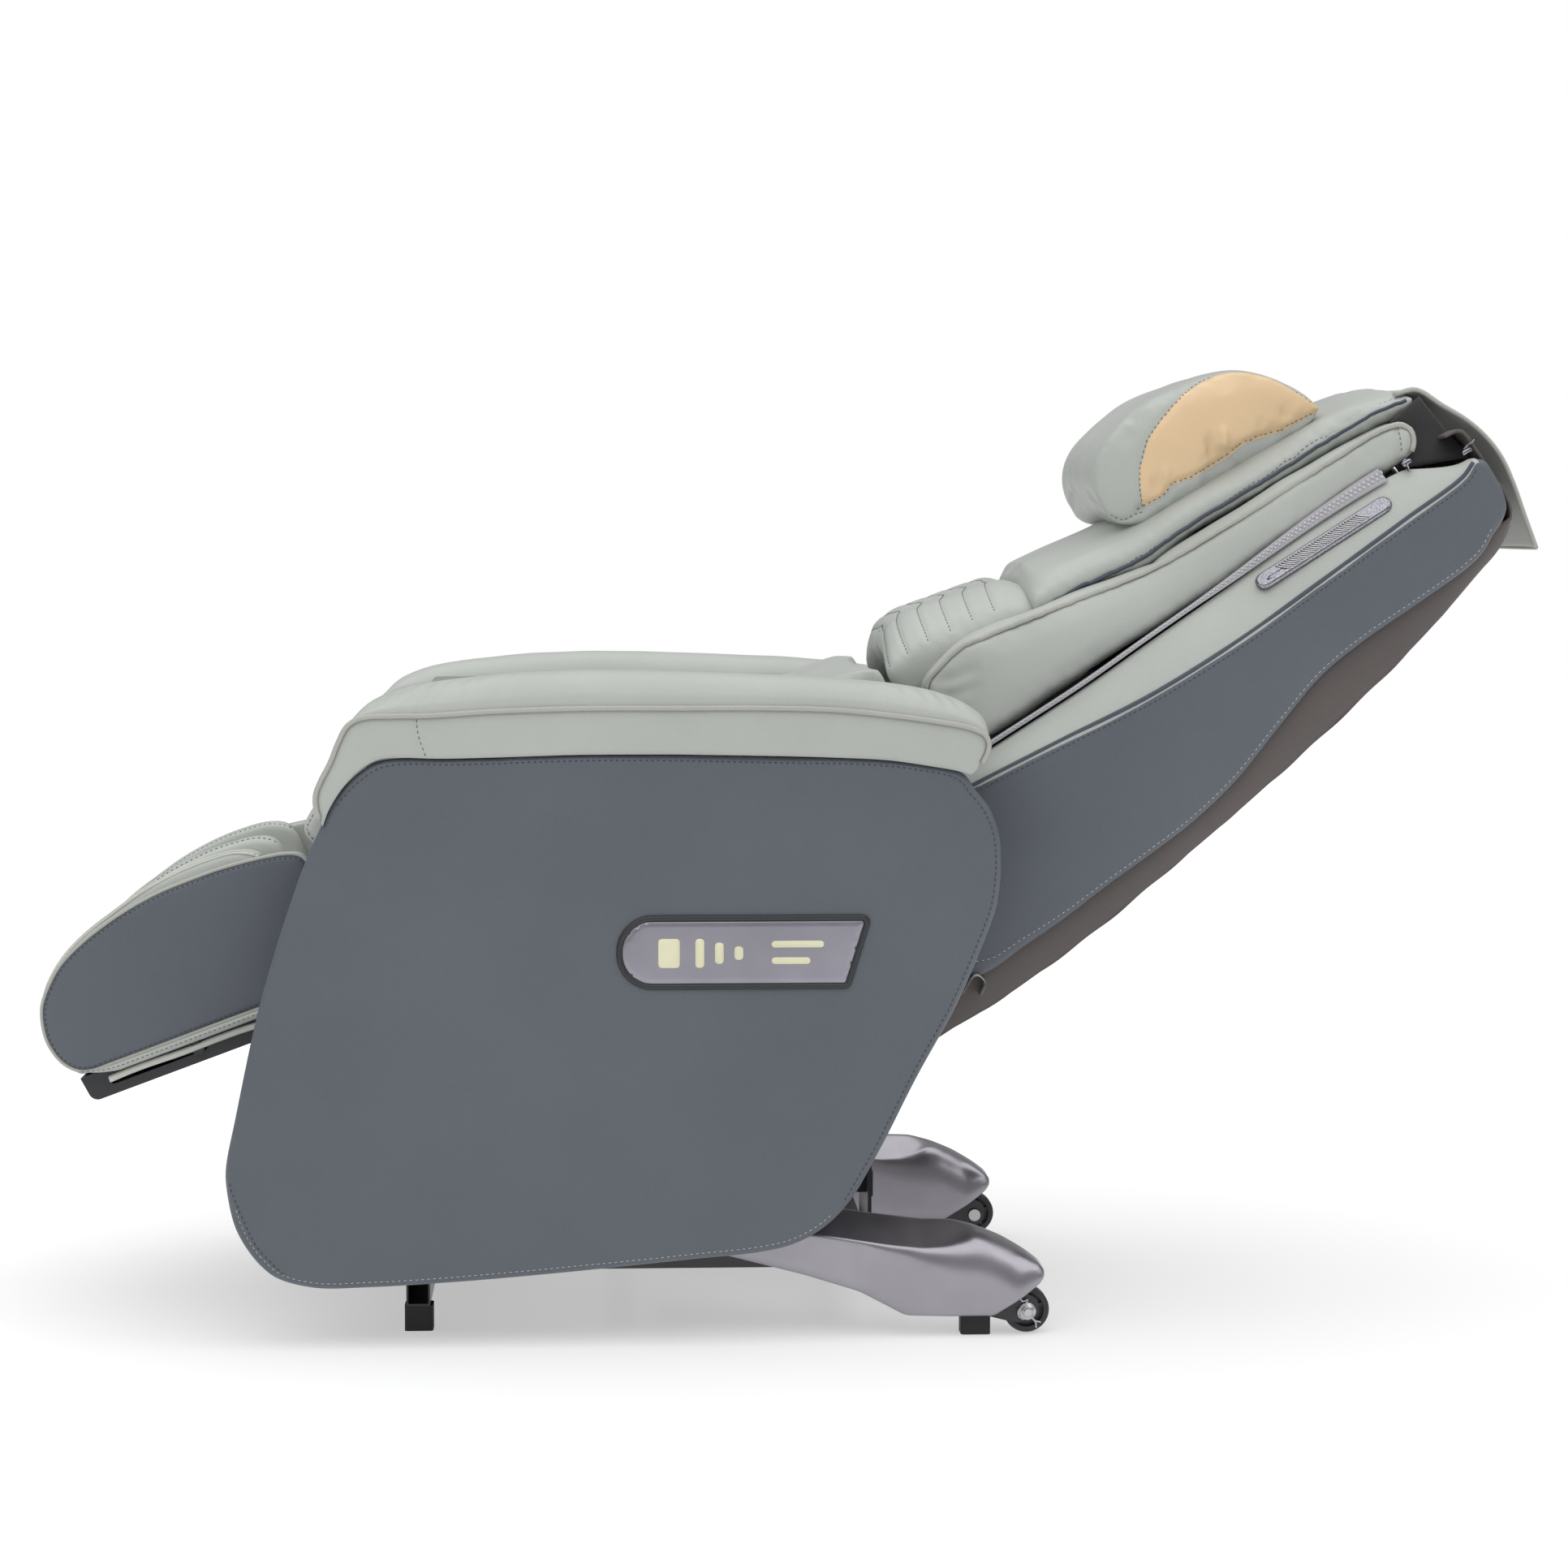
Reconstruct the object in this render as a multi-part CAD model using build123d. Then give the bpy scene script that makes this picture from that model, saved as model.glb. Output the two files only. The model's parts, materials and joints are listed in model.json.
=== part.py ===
from build123d import *
import math
import os

# Massage chair, reclined to its stop with the leg rest raised. Millimetres.
# The sitter faces -Y, X is the width (+X is the sitter's left) and +Z is up.
# The origin is on the floor, below the middle of the chair.

# Driving dimensions
HALF_WIDTH = 345          # outer face of each side panel
ARM_INNER = 254           # inner face of each arm
BACK_HALF = 245           # backrest half width
LEG_HALF = 240            # leg rest half width
PANEL = 20                # padded side panel thickness
TUBE = 25                 # square frame tube
WALL = 2                  # frame tube wall
SHELL = 2.5               # moulded plastic wall
PLATE = 4                 # steel plate
GAP = 1                   # gap between neighbouring covers
PIN_R = 6                 # hinge pin radius
RUN = 0.05                # radial running clearance
RECLINE_PIVOT = (68, 437)
RECLINE_ANGLE = 32.5      # backrest slope above the horizontal
LEG_PIVOT = (-482, 452)
LEG_ANGLE = 20.3          # leg rest slope below the horizontal
WHEEL_CENTRE = (236, 25.5)
WHEEL_X = 283
WHEEL_R = 24
ACTUATOR_R = 18
ROD_R = 9


# Places on the backrest (s up its slope, p out of its front), on the leg rest
# (t towards the feet, n out of its top) and their directions in the side view.
def back_point(s, p):
    angle = math.radians(RECLINE_ANGLE)
    y = RECLINE_PIVOT[0] + s * math.cos(angle) - p * math.sin(angle)
    z = RECLINE_PIVOT[1] + s * math.sin(angle) + p * math.cos(angle)
    return (y, z)


def leg_point(t, n):
    angle = math.radians(LEG_ANGLE)
    y = LEG_PIVOT[0] - t * math.cos(angle) - n * math.sin(angle)
    z = LEG_PIVOT[1] - t * math.sin(angle) + n * math.cos(angle)
    return (y, z)


def same_point(y, z):
    return (y, z)


# Shapes
def side_face(corners, place=same_point):
    """Closed side-view outline from (a, b, corner radius) entries."""
    points = [place(a, b) for a, b, radius in corners]
    radii = [radius for a, b, radius in corners]
    return make_face(FilletPolyline(*points, radius=radii, close=True))


def across(face, low, high):
    """Extrude a side-view face along X between two places."""
    return extrude(Plane.YZ.offset(low) * face, high - low)


def prism(corners, low, high, place=same_point):
    return across(side_face(corners, place), low, high)


def block(x, y, z):
    """Box between (low, high) pairs."""
    size = [high - low for low, high in (x, y, z)]
    middle = [(low + high) / 2 for low, high in (x, y, z)]
    return Pos(*middle) * Box(*size)


def tube(x, y, z, along):
    """Square or rectangular steel tube, open at both ends."""
    inner = [(low + WALL, high - WALL) for low, high in (x, y, z)]
    inner[along] = (x, y, z)[along]
    return block(x, y, z) - block(*inner)


def rod(low, high, centre, radius):
    """Round bar along X."""
    y, z = centre
    return Pos((low + high) / 2, y, z) * Rot(0, 90, 0) * Cylinder(radius, high - low)


def bar(start, end, radius, x=0):
    """Round bar in the plane at x, between two side-view places."""
    run = Vector(0, end[0] - start[0], end[1] - start[1])
    base = Plane(origin=(x, start[0], start[1]), x_dir=(1, 0, 0), z_dir=run.normalized())
    return extrude(base * Circle(radius), run.length)


def mirrored(solid):
    return mirror(solid, about=Plane.YZ)


def pair(solid):
    return [solid, mirrored(solid)]


def save(node, *solids):
    shape = solids[0] if len(solids) == 1 else Compound(children=list(solids))
    export_step(shape, os.path.join("parts", node + ".step"))


def save_sides(node, solid):
    save(node + "_left", solid)
    save(node + "_right", mirrored(solid))


os.makedirs("parts", exist_ok=True)

# Base frame: front crossbar, rails, cross tubes, rear leg tubes and uprights
RAIL_X = (222, 222 + TUBE)
BASE_Z = (27, 27 + TUBE)
RAIL_Z = (64, 64 + TUBE)
FRONT_Y = (-414, -414 + TUBE)
CROSS_Y = (60, 60 + TUBE)
CROSS_Z = (45, RAIL_Z[0])
FRONT_POST_Y = (-380, -380 + TUBE)
REAR_POST_Y = (20, 20 + TUBE)
LOW_RAIL_Z = (395, 395 + TUBE)
TOP_RAIL_Z = (441, 441 + TUBE)
LEG_TUBE_X = (266, 296)
LEG_TUBE_Z = (48, 73)

base_tubes = [tube((-250, 250), FRONT_Y, BASE_Z, 0), tube((-266, 266), CROSS_Y, CROSS_Z, 0)]
base_tubes += pair(tube(RAIL_X, FRONT_Y, (BASE_Z[1], RAIL_Z[1]), 2))
base_tubes += pair(tube(RAIL_X, (FRONT_Y[1], CROSS_Y[1]), RAIL_Z, 1))
base_tubes += pair(tube(LEG_TUBE_X, (CROSS_Y[0], 205), LEG_TUBE_Z, 1))
base_tubes += pair(tube(RAIL_X, FRONT_POST_Y, (RAIL_Z[1], TOP_RAIL_Z[0]), 2))
base_tubes += pair(tube(RAIL_X, REAR_POST_Y, (RAIL_Z[1], LOW_RAIL_Z[0]), 2))
base_tubes.append(tube((-222, 222), (-194, -194 + TUBE), RAIL_Z, 0))
save("base_frame", *base_tubes)

# Seat frame: upper and lower rails, crossbars and short posts
seat_tubes = pair(tube(RAIL_X, (FRONT_POST_Y[1], 95), LOW_RAIL_Z, 1))
seat_tubes += pair(tube(RAIL_X, (-470, -200), TOP_RAIL_Z, 1))
seat_tubes += pair(tube(RAIL_X, (-225, -200), (LOW_RAIL_Z[1], TOP_RAIL_Z[0]), 2))
seat_tubes.append(tube((-222, 222), (-425, -400), TOP_RAIL_Z, 0))
seat_tubes.append(tube((-222, 222), (-230, -205), TOP_RAIL_Z, 0))
seat_tubes.append(tube((-222, 222), (-35, -10), LOW_RAIL_Z, 0))

save("seat_pan", block((-247, 247), (-470, -192), (TOP_RAIL_Z[1], TOP_RAIL_Z[1] + 12)))

for post_y in (FRONT_POST_Y, REAR_POST_Y):
    seat_tubes += pair(block((RAIL_X[1], ARM_INNER), post_y, (290, 340)))
save("seat_frame", *seat_tubes)

# Hinge plates and pins
recline_plate = prism([(38, 420.5, 2), (98, 420.5, 2), (90, 462, 14), (46, 462, 14)], 232, 238)
recline_hinge = recline_plate + rod(208, 240, RECLINE_PIVOT, PIN_R)
leg_plate = prism([(-470.5, 438, 2), (-470.5, 466, 2), (-496, 466, 13), (-496, 438, 13)], 241.5, 247)
leg_hinge = leg_plate + rod(200, 247, LEG_PIVOT, PIN_R)

# Feet
FOOT_CORNER = 4
front_foot = block((221, 249), (-416, -386), (0, BASE_Z[0]))
front_foot = fillet(front_foot.edges().filter_by(Axis.Z), FOOT_CORNER)
rear_foot = block((267, 295), (167, 198), (0, LEG_TUBE_Z[0]))
rear_foot = fillet(rear_foot.edges().filter_by(Axis.Z), FOOT_CORNER)
save("rubber_feet", *pair(front_foot), *pair(rear_foot))

# Moulded rear leg covers: open below, cut away round the wheel, recessed on top
COVER_X = (250, 312)
RECESS_DEPTH = 8
cover_outline = [(-90, 90, 3), (60, 48, 12), (112, 20, 8), (207, 20, 6), (222, 36, 4),
                 (254, 57, 8), (254, 72, 12), (186, 113, 16), (125, 117, 20), (-90, 148, 3)]
cover_inner = offset(side_face(cover_outline), -SHELL, kind=Kind.INTERSECTION)
cross_way = block((COVER_X[0] - 1, COVER_X[0] + SHELL + 1), (57, 88), (20, 75))
cover_block = prism(cover_outline, *COVER_X)
hollow = across(cover_inner, COVER_X[0] + SHELL, COVER_X[1] - SHELL)
leg_cover = cover_block - hollow
leg_cover -= Pos(0, 0, -4 * SHELL) * hollow
leg_cover -= cross_way
recess_outline = [(-88, 124, 0), (25, 110, 10), (150, 88, 14), (180, 98, 8), (182, 107, 3),
                  (150, 107, 6), (60, 124, 10), (-88, 144, 0)]
recess_x = COVER_X[1] - RECESS_DEPTH
leg_cover -= prism(recess_outline, recess_x, COVER_X[1] + 1)
leg_cover += prism(recess_outline, recess_x - SHELL, recess_x)
save("leg_covers", *pair(leg_cover))

# Wheel forks, axles with washer and clip, wheels
fork_outline = [(150, 32, 4), (220, 14, 6), (248, 14, 12), (248, 38, 12), (205, 58, 6), (150, 58, 4)]
AXLE_R = 4
FORK = 3.5
fork = []
for low in (LEG_TUBE_X[0] - FORK, LEG_TUBE_X[1]):
    fork_hole = rod(low - 1, low + FORK + 1, WHEEL_CENTRE, AXLE_R)
    fork.append(prism(fork_outline, low, low + FORK) - fork_hole)
save("wheel_forks", *fork, *[mirrored(plate) for plate in fork])

axle = rod(260, 310, WHEEL_CENTRE, AXLE_R)
axle += rod(258, 260, WHEEL_CENTRE, 7)
save("wheel_axles", *pair(axle))

CLIP_X = (303, 305.5)
washer = rod(300, 301.5, WHEEL_CENTRE, 9) - rod(299, 302, WHEEL_CENTRE, AXLE_R)
clip = block(CLIP_X, (232, 240), (30, 34)) + block(CLIP_X, (237, 239), (12, 34))
clip -= rod(CLIP_X[0] - 1, CLIP_X[1] + 1, WHEEL_CENTRE, AXLE_R)
save("axle_clips", *pair(washer), *pair(clip))

HALF_TREAD = 10
DISH = 6
SPOKES = 5
wheel = rod(WHEEL_X - HALF_TREAD, WHEEL_X + HALF_TREAD, WHEEL_CENTRE, WHEEL_R)
wheel = fillet(wheel.edges().filter_by(GeomType.CIRCLE), 2.5)
dish = rod(0, DISH, WHEEL_CENTRE, 18) - rod(-1, DISH + 1, WHEEL_CENTRE, 8)
wheel -= Pos(WHEEL_X + HALF_TREAD - DISH, 0, 0) * dish
wheel -= Pos(WHEEL_X - HALF_TREAD, 0, 0) * dish
for spoke in range(SPOKES):
    arm = Pos(0, 0, 13) * Box(16, 4, 11)
    wheel += Pos(WHEEL_X, *WHEEL_CENTRE) * Rot(360 / SPOKES * spoke, 0, 0) * arm
wheel -= rod(WHEEL_X - HALF_TREAD - 1, WHEEL_X + HALF_TREAD + 1, WHEEL_CENTRE, AXLE_R + RUN)
save_sides("wheel", wheel)

# Arms: box core, padded side panel, rolled top pad
panel_outline = [(-611, 55, 95), (-479, 610, 115), (70, 611, 200), (178, 591, 30),
                 (208, 495, 80), (26, 104, 45)]
panel_face = side_face(panel_outline)
side_panel = across(panel_face, HALF_WIDTH - PANEL, HALF_WIDTH)
core_cut = block((ARM_INNER - 1, HALF_WIDTH), (-700, 300), (0, 152))
arm_core = across(offset(panel_face, -3), ARM_INNER, HALF_WIDTH - PANEL - 0.5) - core_cut
save("arm_cores", *pair(arm_core))
save_sides("side_panel", side_panel)

pad_outline = [(-489, 534, 2), (-505, 566, 12), (-460, 664, 30), (-230, 699, 300),
               (85, 691, 200), (184, 668, 26), (196, 632, 8), (178, 596, 2)]
arm_pad = across(side_face(pad_outline), ARM_INNER, HALF_WIDTH)
arm_pad -= across(offset(panel_face, GAP), ARM_INNER - 1, HALF_WIDTH + 1)
pad_keep = block((ARM_INNER, HALF_WIDTH), (-520, 210), (520, 710))
save("arm_pads", *pair((arm_pad & pad_keep).solids().sort_by(SortBy.VOLUME)[-1]))

# Plate on each side panel: a black bezel round a plain metal plate
bezel_outline = [(-190, 372, 36), (46, 372, 6), (68, 446, 6), (-190, 446, 36)]
BEZEL_RIM = 4.7
BEZEL_HEIGHT = 3.5
bezel_face = side_face(bezel_outline)
bezel = across(bezel_face, HALF_WIDTH, HALF_WIDTH + BEZEL_HEIGHT)
bezel -= across(offset(bezel_face, -BEZEL_RIM), HALF_WIDTH - 1, HALF_WIDTH + BEZEL_HEIGHT + 1)
save("nameplate_bezels", *pair(bezel))
plate_face = offset(bezel_face, -BEZEL_RIM - 0.3)
save("nameplates", *pair(across(plate_face, HALF_WIDTH, HALF_WIDTH + 2)))

# Seat cushion: rolled front, rear end round the recline pivot
ROLL_R = 244
SEAT_ARC = ROLL_R + 6
seat_outline = [(-503, 478.5, 4), (-518, 508, 12), (-547, 520, 20), (-468, 617, 75),
                (-100, 588, 2), (-100, 478.5, 2)]
seat = prism(seat_outline, -249, 249) - rod(-260, 260, RECLINE_PIVOT, SEAT_ARC)
save("seat_cushion", seat)

# Control box, air pump and mains entry under the seat
BOX_Z = RAIL_Z[1] + 0.5
BOX_Y = (-150, 0)
control_box = fillet(block((-246, -110), BOX_Y, (BOX_Z, BOX_Z + 80)).edges(), 5)
air_pump = fillet(block((110, 246), BOX_Y, (BOX_Z, BOX_Z + 88)).edges(), 12)
save("control_box", control_box)
save("air_pump", air_pump)

MAINS_Y = CROSS_Y[1]
MAINS_Z = 118
power_plate = block((-70, 70), (MAINS_Y, MAINS_Y + PLATE), (46, 150))
power_plate -= block((-48, -34), (80, 95), (MAINS_Z - 11, MAINS_Z + 11))
power_plate -= block((18, 46), (80, 95), (MAINS_Z - 10.5, MAINS_Z + 10.5))
save("power_plate", power_plate)
inlet = block((18.5, 45.5), (66, 92), (MAINS_Z - 10, MAINS_Z + 10))
inlet += block((14, 50), (MAINS_Y + PLATE, 92), (MAINS_Z - 14, MAINS_Z + 14))
inlet -= block((20.5, 43.5), (74, 93), (MAINS_Z - 8, MAINS_Z + 8))
for blade_x in (25, 32, 39):
    inlet += block((blade_x - 1, blade_x + 1), (73, 88), (MAINS_Z - 3, MAINS_Z + 3))
save("power_inlet", inlet)
rocker = prism([(80, MAINS_Z - 9, 1), (91, MAINS_Z - 9.5, 1), (89.5, MAINS_Z, 3),
                (92.5, MAINS_Z + 9.5, 1), (82, MAINS_Z + 9, 1)], -46.5, -35.5)
save("power_switch", rocker)

# Key panel with three push buttons on the inner face of the sitter's right arm
KEY_Y = (-385, -360, -335)
KEY_Z = 652
KEY_R = 8
KEY_PLATE = 6
key_panel = block((-ARM_INNER, -ARM_INNER + KEY_PLATE), (-405, -315), (634, 670))
key_panel = fillet(key_panel.edges().filter_by(Axis.X), 8)
for number, key_y in enumerate(KEY_Y, 1):
    key_panel -= rod(-ARM_INNER - 1, -ARM_INNER + KEY_PLATE + 1, (key_y, KEY_Z), KEY_R + 0.3)
    key = rod(-ARM_INNER + 2.5, -ARM_INNER + KEY_PLATE + 2, (key_y, KEY_Z), KEY_R)
    save("key_%d" % number, fillet(key.edges().group_by(Axis.X)[-1], 1))
save("key_panel", key_panel)


# Leg rest frame: hinge tube, swing plates, cross tube and actuator lug
LEG_LUG = leg_point(40.5, -57.5)
LUG_X = (12, 16)
LUG_PIN_R = 5
hinge_tube = rod(-217, 217, LEG_PIVOT, 10) - rod(-218, 218, LEG_PIVOT, PIN_R + RUN)
swing_outline = [(-7, 0, 0), (6, 5, 0), (34, -55, 10), (51.5, -76, 3), (51.5, -104, 3), (16, -104, 6)]
swing_face = side_face(swing_outline, leg_point) + Pos(*LEG_PIVOT) * Circle(13)
swing_plate = across(swing_face - Pos(*LEG_PIVOT) * Circle(10.02), 150, 150 + PLATE)
cross_tube = prism([(20, -104, 2), (40, -104, 2), (40, -84, 2), (20, -84, 2)], LUG_X[1], 150, leg_point)
lug_outline = [(20, -104, 0), (36, -104, 0), (38, -76, 2), (53, -58, 7), (40, -45, 8), (26, -58, 7)]
lug_plate = prism(lug_outline, *LUG_X, leg_point)
lug_pin = rod(-LUG_X[0], LUG_X[0], LEG_LUG, LUG_PIN_R)
save("legrest_frame", hinge_tube, *pair(swing_plate), *pair(cross_tube), *pair(lug_plate), lug_pin)

# Calf tray: shallow moulded box with a guide slot in each side wall
TRAY_X = 225
tray = prism([(52, -107, 3), (316, -107, 10), (320, -79, 1), (52, -79, 1)], -TRAY_X, TRAY_X, leg_point)
tray -= prism([(55, -104, 2), (313, -104, 8), (317, -70, 0), (55, -70, 0)],
              3 - TRAY_X, TRAY_X - 3, leg_point)
slot = prism([(183, -97, 4.9), (292, -97, 4.9), (292, -87, 4.9), (183, -87, 4.9)],
             -TRAY_X - 1, TRAY_X + 1, leg_point)
save("calf_tray", tray - slot)

# Sliding calf unit: shell, runners, side panels, pads
GUIDE = leg_point(193, -92)
save("calf_shell", prism([(70, -77, 2), (322, -77, 10), (328, -62, 6), (70, -62, 2)], -211, 211, leg_point))
runner = prism([(80, -102, 2), (225, -102, 2), (225, -77, 0), (80, -77, 0)], 195, 207, leg_point)
runner += rod(206, 227, GUIDE, 4) + rod(226.5, 231, GUIDE, 7)
save("calf_runners", *pair(runner))

calf_outline = [(16, 62, 6), (48, 76, 50), (160, 84, 150), (304, 62, 90), (349, -20, 50),
                (330, -76, 30), (46, -76, 4), (32, 20, 10)]
save("calf_side_panels", *pair(prism(calf_outline, 212, LEG_HALF, leg_point)))
pad_top = [(70, -61.5, 3), (70, 76, 12), (110, 96, 40), (190, 88, 80), (302, 56, 40),
           (340, -6, 40), (328, -61.5, 14)]
calf_divider = prism(pad_top, -26, 26, leg_point)
save("calf_wall_pads", *pair(prism(pad_top, 186, 211.5, leg_point)), calf_divider)
floor_pad = prism([(70, -61.5, 3), (70, 6, 12), (322, 6, 20), (330, -61.5, 14)], 26.5, 185.5, leg_point)
save("calf_floor_pads", *pair(floor_pad))

# Backrest frame: rails, crossbars, hinge plates and actuator lug
BACK_LUG = back_point(-30, -110)
RAIL_P = (-25, 15)


def back_tube(x, s, p):
    corners = [(s[0], p[0], 0), (s[1], p[0], 0), (s[1], p[1], 0), (s[0], p[1], 0)]
    return prism(corners, x[0], x[1], back_point)


back_rail = back_tube((190, 215), (40, 760), RAIL_P)
back_rail -= back_tube((190 + WALL, 215 - WALL), (39, 761), (RAIL_P[0] + WALL, RAIL_P[1] - WALL))
hinge_plate = prism([(-18, -18, 16), (90, -25, 4), (90, 15, 4), (-18, 18, 16)], 215, 221, back_point)
hinge_plate -= rod(214, 222, RECLINE_PIVOT, PIN_R + RUN)
back_lug = prism([(62, -25, 2), (62, -40, 20), (-18, -124, 12), (-42, -124, 12), (-42, -96, 12),
                  (42, -25, 2)], *LUG_X, back_point)
low_bar = back_tube((-190, 190), (40, 65), RAIL_P)
low_bar = low_bar + back_lug + mirrored(back_lug) + rod(-LUG_X[1], LUG_X[1], BACK_LUG, LUG_PIN_R)
top_bar = back_tube((-190, 190), (735, 760), RAIL_P)
save("back_frame", *pair(back_rail), *pair(hinge_plate), low_bar, top_bar)

# Roller track: guide rods, lead screw, carriage and its motor
ROD_X = 110
CARRIAGE_S = (370, 450)
CARRIAGE_MIDDLE = (CARRIAGE_S[0] + CARRIAGE_S[1]) / 2
GUIDE_R = 6
guide = bar(back_point(65, 0), back_point(735, 0), GUIDE_R, ROD_X)
save("guide_rods", *pair(guide))
SCREW_R = 7
save("lead_screw", bar(back_point(66, 0), back_point(734, 0), SCREW_R))
carriage = back_tube((-130, 130), CARRIAGE_S, (-16, 16))
bore_ends = (back_point(CARRIAGE_S[0] - 10, 0), back_point(CARRIAGE_S[1] + 10, 0))
for x in (-ROD_X, ROD_X):
    carriage -= bar(*bore_ends, GUIDE_R + 2 * RUN, x)
carriage -= bar(*bore_ends, SCREW_R + 0.5)
shaft_ear = prism([(390, 15, 0), (430, 15, 0), (422, 62, 12), (398, 62, 12)], 30, 36, back_point)
SHAFT = back_point(CARRIAGE_MIDDLE, 48)
SHAFT_R = 7
carriage = carriage + shaft_ear + mirrored(shaft_ear)
carriage += rod(-66, 66, SHAFT, SHAFT_R)
save("roller_carriage", carriage)
motor = bar(back_point(376, -35), back_point(444, -35), 18, -60)
motor += back_tube((-75, -45), (385, 435), (-24, -16.2))
save("carriage_motor", motor)

# Two kneading arms on the carriage shaft, each with two rollers
ARM_X = (46, 58)
ROLLER_R = 21
ROLLER_WIDTH = 24
SPINDLE_R = 5
ROLLER_S = 52
ROLLER_P = 92
arm_outline = [(-66, 84, 12), (-58, 106, 12), (0, 68, 25), (58, 106, 12), (66, 84, 12), (15, 34, 14),
               (-15, 34, 14)]
arm_corners = [(CARRIAGE_MIDDLE + s, p, radius) for s, p, radius in arm_outline]
knead_arm = prism(arm_corners, *ARM_X, back_point)
knead_arm -= rod(ARM_X[0] - 1, ARM_X[1] + 1, SHAFT, SHAFT_R + RUN)
for side in (-1, 1):
    spindle_centre = back_point(CARRIAGE_MIDDLE + side * ROLLER_S, ROLLER_P)
    knead_arm += rod(ARM_X[0], ARM_X[1] + ROLLER_WIDTH + 4, spindle_centre, SPINDLE_R)
save_sides("knead_arm", knead_arm)
for end, side in (("low", -1), ("top", 1)):
    centre = back_point(CARRIAGE_MIDDLE + side * ROLLER_S, ROLLER_P)
    roller = rod(ARM_X[1] + 2, ARM_X[1] + 2 + ROLLER_WIDTH, centre, ROLLER_R)
    roller = fillet(roller.edges().filter_by(GeomType.CIRCLE), 7)
    roller -= rod(ARM_X[1], ARM_X[1] + ROLLER_WIDTH + 4, centre, SPINDLE_R + RUN)
    save_sides(end + "_roller", roller)

# Backrest covers and pads
back_outline = [(55, 62, 8), (420, 22, 900), (790, 46, 60), (812, 66, 10), (812, -2, 22), (760, -36, 50),
                (575, -41, 150), (385, -104, 150), (50, -124, 10)]
back_face = side_face(back_outline, back_point)
save("back_side_panels", *pair(across(back_face, 222, BACK_HALF)))

LEDGE_S = (120, 758)
slope = math.radians(RECLINE_ANGLE)
ledge_plane = Plane(origin=(0, *back_point(LEDGE_S[1], 0)), x_dir=(1, 0, 0),
                    z_dir=(0, -math.cos(slope), -math.sin(slope)))
ledge_section = Polyline((BACK_HALF, 20), (BACK_HALF, 46), (213, 88), (206, 88), (206, 20), close=True)
ledge = extrude(ledge_plane * make_face(ledge_section), LEDGE_S[1] - LEDGE_S[0])
ledge_cut = across(offset(back_face, GAP), 200, BACK_HALF + 5)
ledge = (ledge - ledge_cut).solids().sort_by(SortBy.VOLUME)[-1]
save("back_ledges", *pair(ledge))

SPEAKER_S = 620
speaker_normal = Vector(0, -math.sin(slope), math.cos(slope)) * 32 + Vector(42, 0, 0)
speaker_face = Plane(origin=(229, *back_point(SPEAKER_S, 67)), x_dir=(0, math.cos(slope), math.sin(slope)),
                     z_dir=speaker_normal)
SPEAKER_SIZE = (165, 17)
speaker = extrude(speaker_face.offset(0.2) * SlotOverall(*SPEAKER_SIZE), 3)
save("speakers", *pair(speaker))

bolster_outline = [(182, 92, 5), (172, 172, 24), (238, 186, 50), (460, 142, 150), (735, 138, 60),
                   (782, 130, 20), (762, 92, 12)]
save("back_bolsters", *pair(prism(bolster_outline, 147, 212, back_point)))
save("roller_cover", back_tube((-145, 145), (166, 782), (124, 132)))

cover_outline = [(-5, -160, 3), (170, -155, 300), (620, -82, 400), (812, -26, 26), (812, 96, 6),
                 (786, 96, 3), (786, 88, 3), (804, 86, 2), (804, -16, 16), (618, -72, 400),
                 (170, -145, 300), (-5, -150, 3)]
save("back_cover", prism(cover_outline, -221, 221, back_point))

# Seat-to-back roll: a padded band about the recline pivot, so it never meets the seat
ROLL_INNER = 186
ROLL_LOW = math.radians(109.5)
ROLL_TOP = math.radians(70)


def roll_point(radius, angle):
    return back_point(radius * math.cos(angle), radius * math.sin(angle))


roll_middle = (ROLL_LOW + ROLL_TOP) / 2
outer_arc = ThreePointArc(roll_point(ROLL_R, ROLL_LOW), roll_point(ROLL_R, roll_middle),
                          roll_point(ROLL_R, ROLL_TOP))
inner_arc = ThreePointArc(roll_point(ROLL_INNER, ROLL_TOP), roll_point(ROLL_INNER, roll_middle),
                          roll_point(ROLL_INNER, ROLL_LOW))
upper_end = Polyline(outer_arc @ 1, back_point(164, 226), back_point(164, 176), inner_arc @ 0)
lower_end = Line(inner_arc @ 1, outer_arc @ 0)
roll_face = make_face([outer_arc, upper_end, inner_arc, lower_end])
save("back_roll", across(roll_face, -ROLL_R, ROLL_R))

lumbar_outline = [(165, 176, 3), (165, 229, 10), (215, 230, 40), (326, 206, 8), (326, 176, 3)]
save("lumbar_pad", prism(lumbar_outline, -144, 144, back_point))
back_pad_outline = [(330, 188, 3), (330, 210, 8), (456, 190, 100), (740, 172, 60), (800, 156, 8),
                    (800, 142, 3), (456, 154, 200)]
save("back_pad", prism(back_pad_outline, -185, 185, back_point))
pillow_outline = [(446, 194, 12), (446, 258, 40), (520, 296, 60), (640, 286, 60), (728, 220, 40),
                  (728, 176, 6)]
save("head_pillow", prism(pillow_outline, -150, 150, back_point))
flap_outline = [(803, 159, 2), (806, 148, 6), (828, 60, 20), (828, -14, 12), (818, -66, 2),
                (824, -68, 1), (837, -14, 14), (838, 62, 22), (812, 158, 8)]
save("top_flap", prism(flap_outline, -170, 170, back_point))

# Actuators: housing tube and rod, each hinged to the frame at its rear end
RECLINE_MOUNT = (-181, 104)
LEGREST_MOUNT = (-60, 405)
MOUNT_PIN_R = 5
EYE_HALF = 6              # half width of each eye
ROD_START = 130           # inner end of each rod, from its mount


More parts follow.
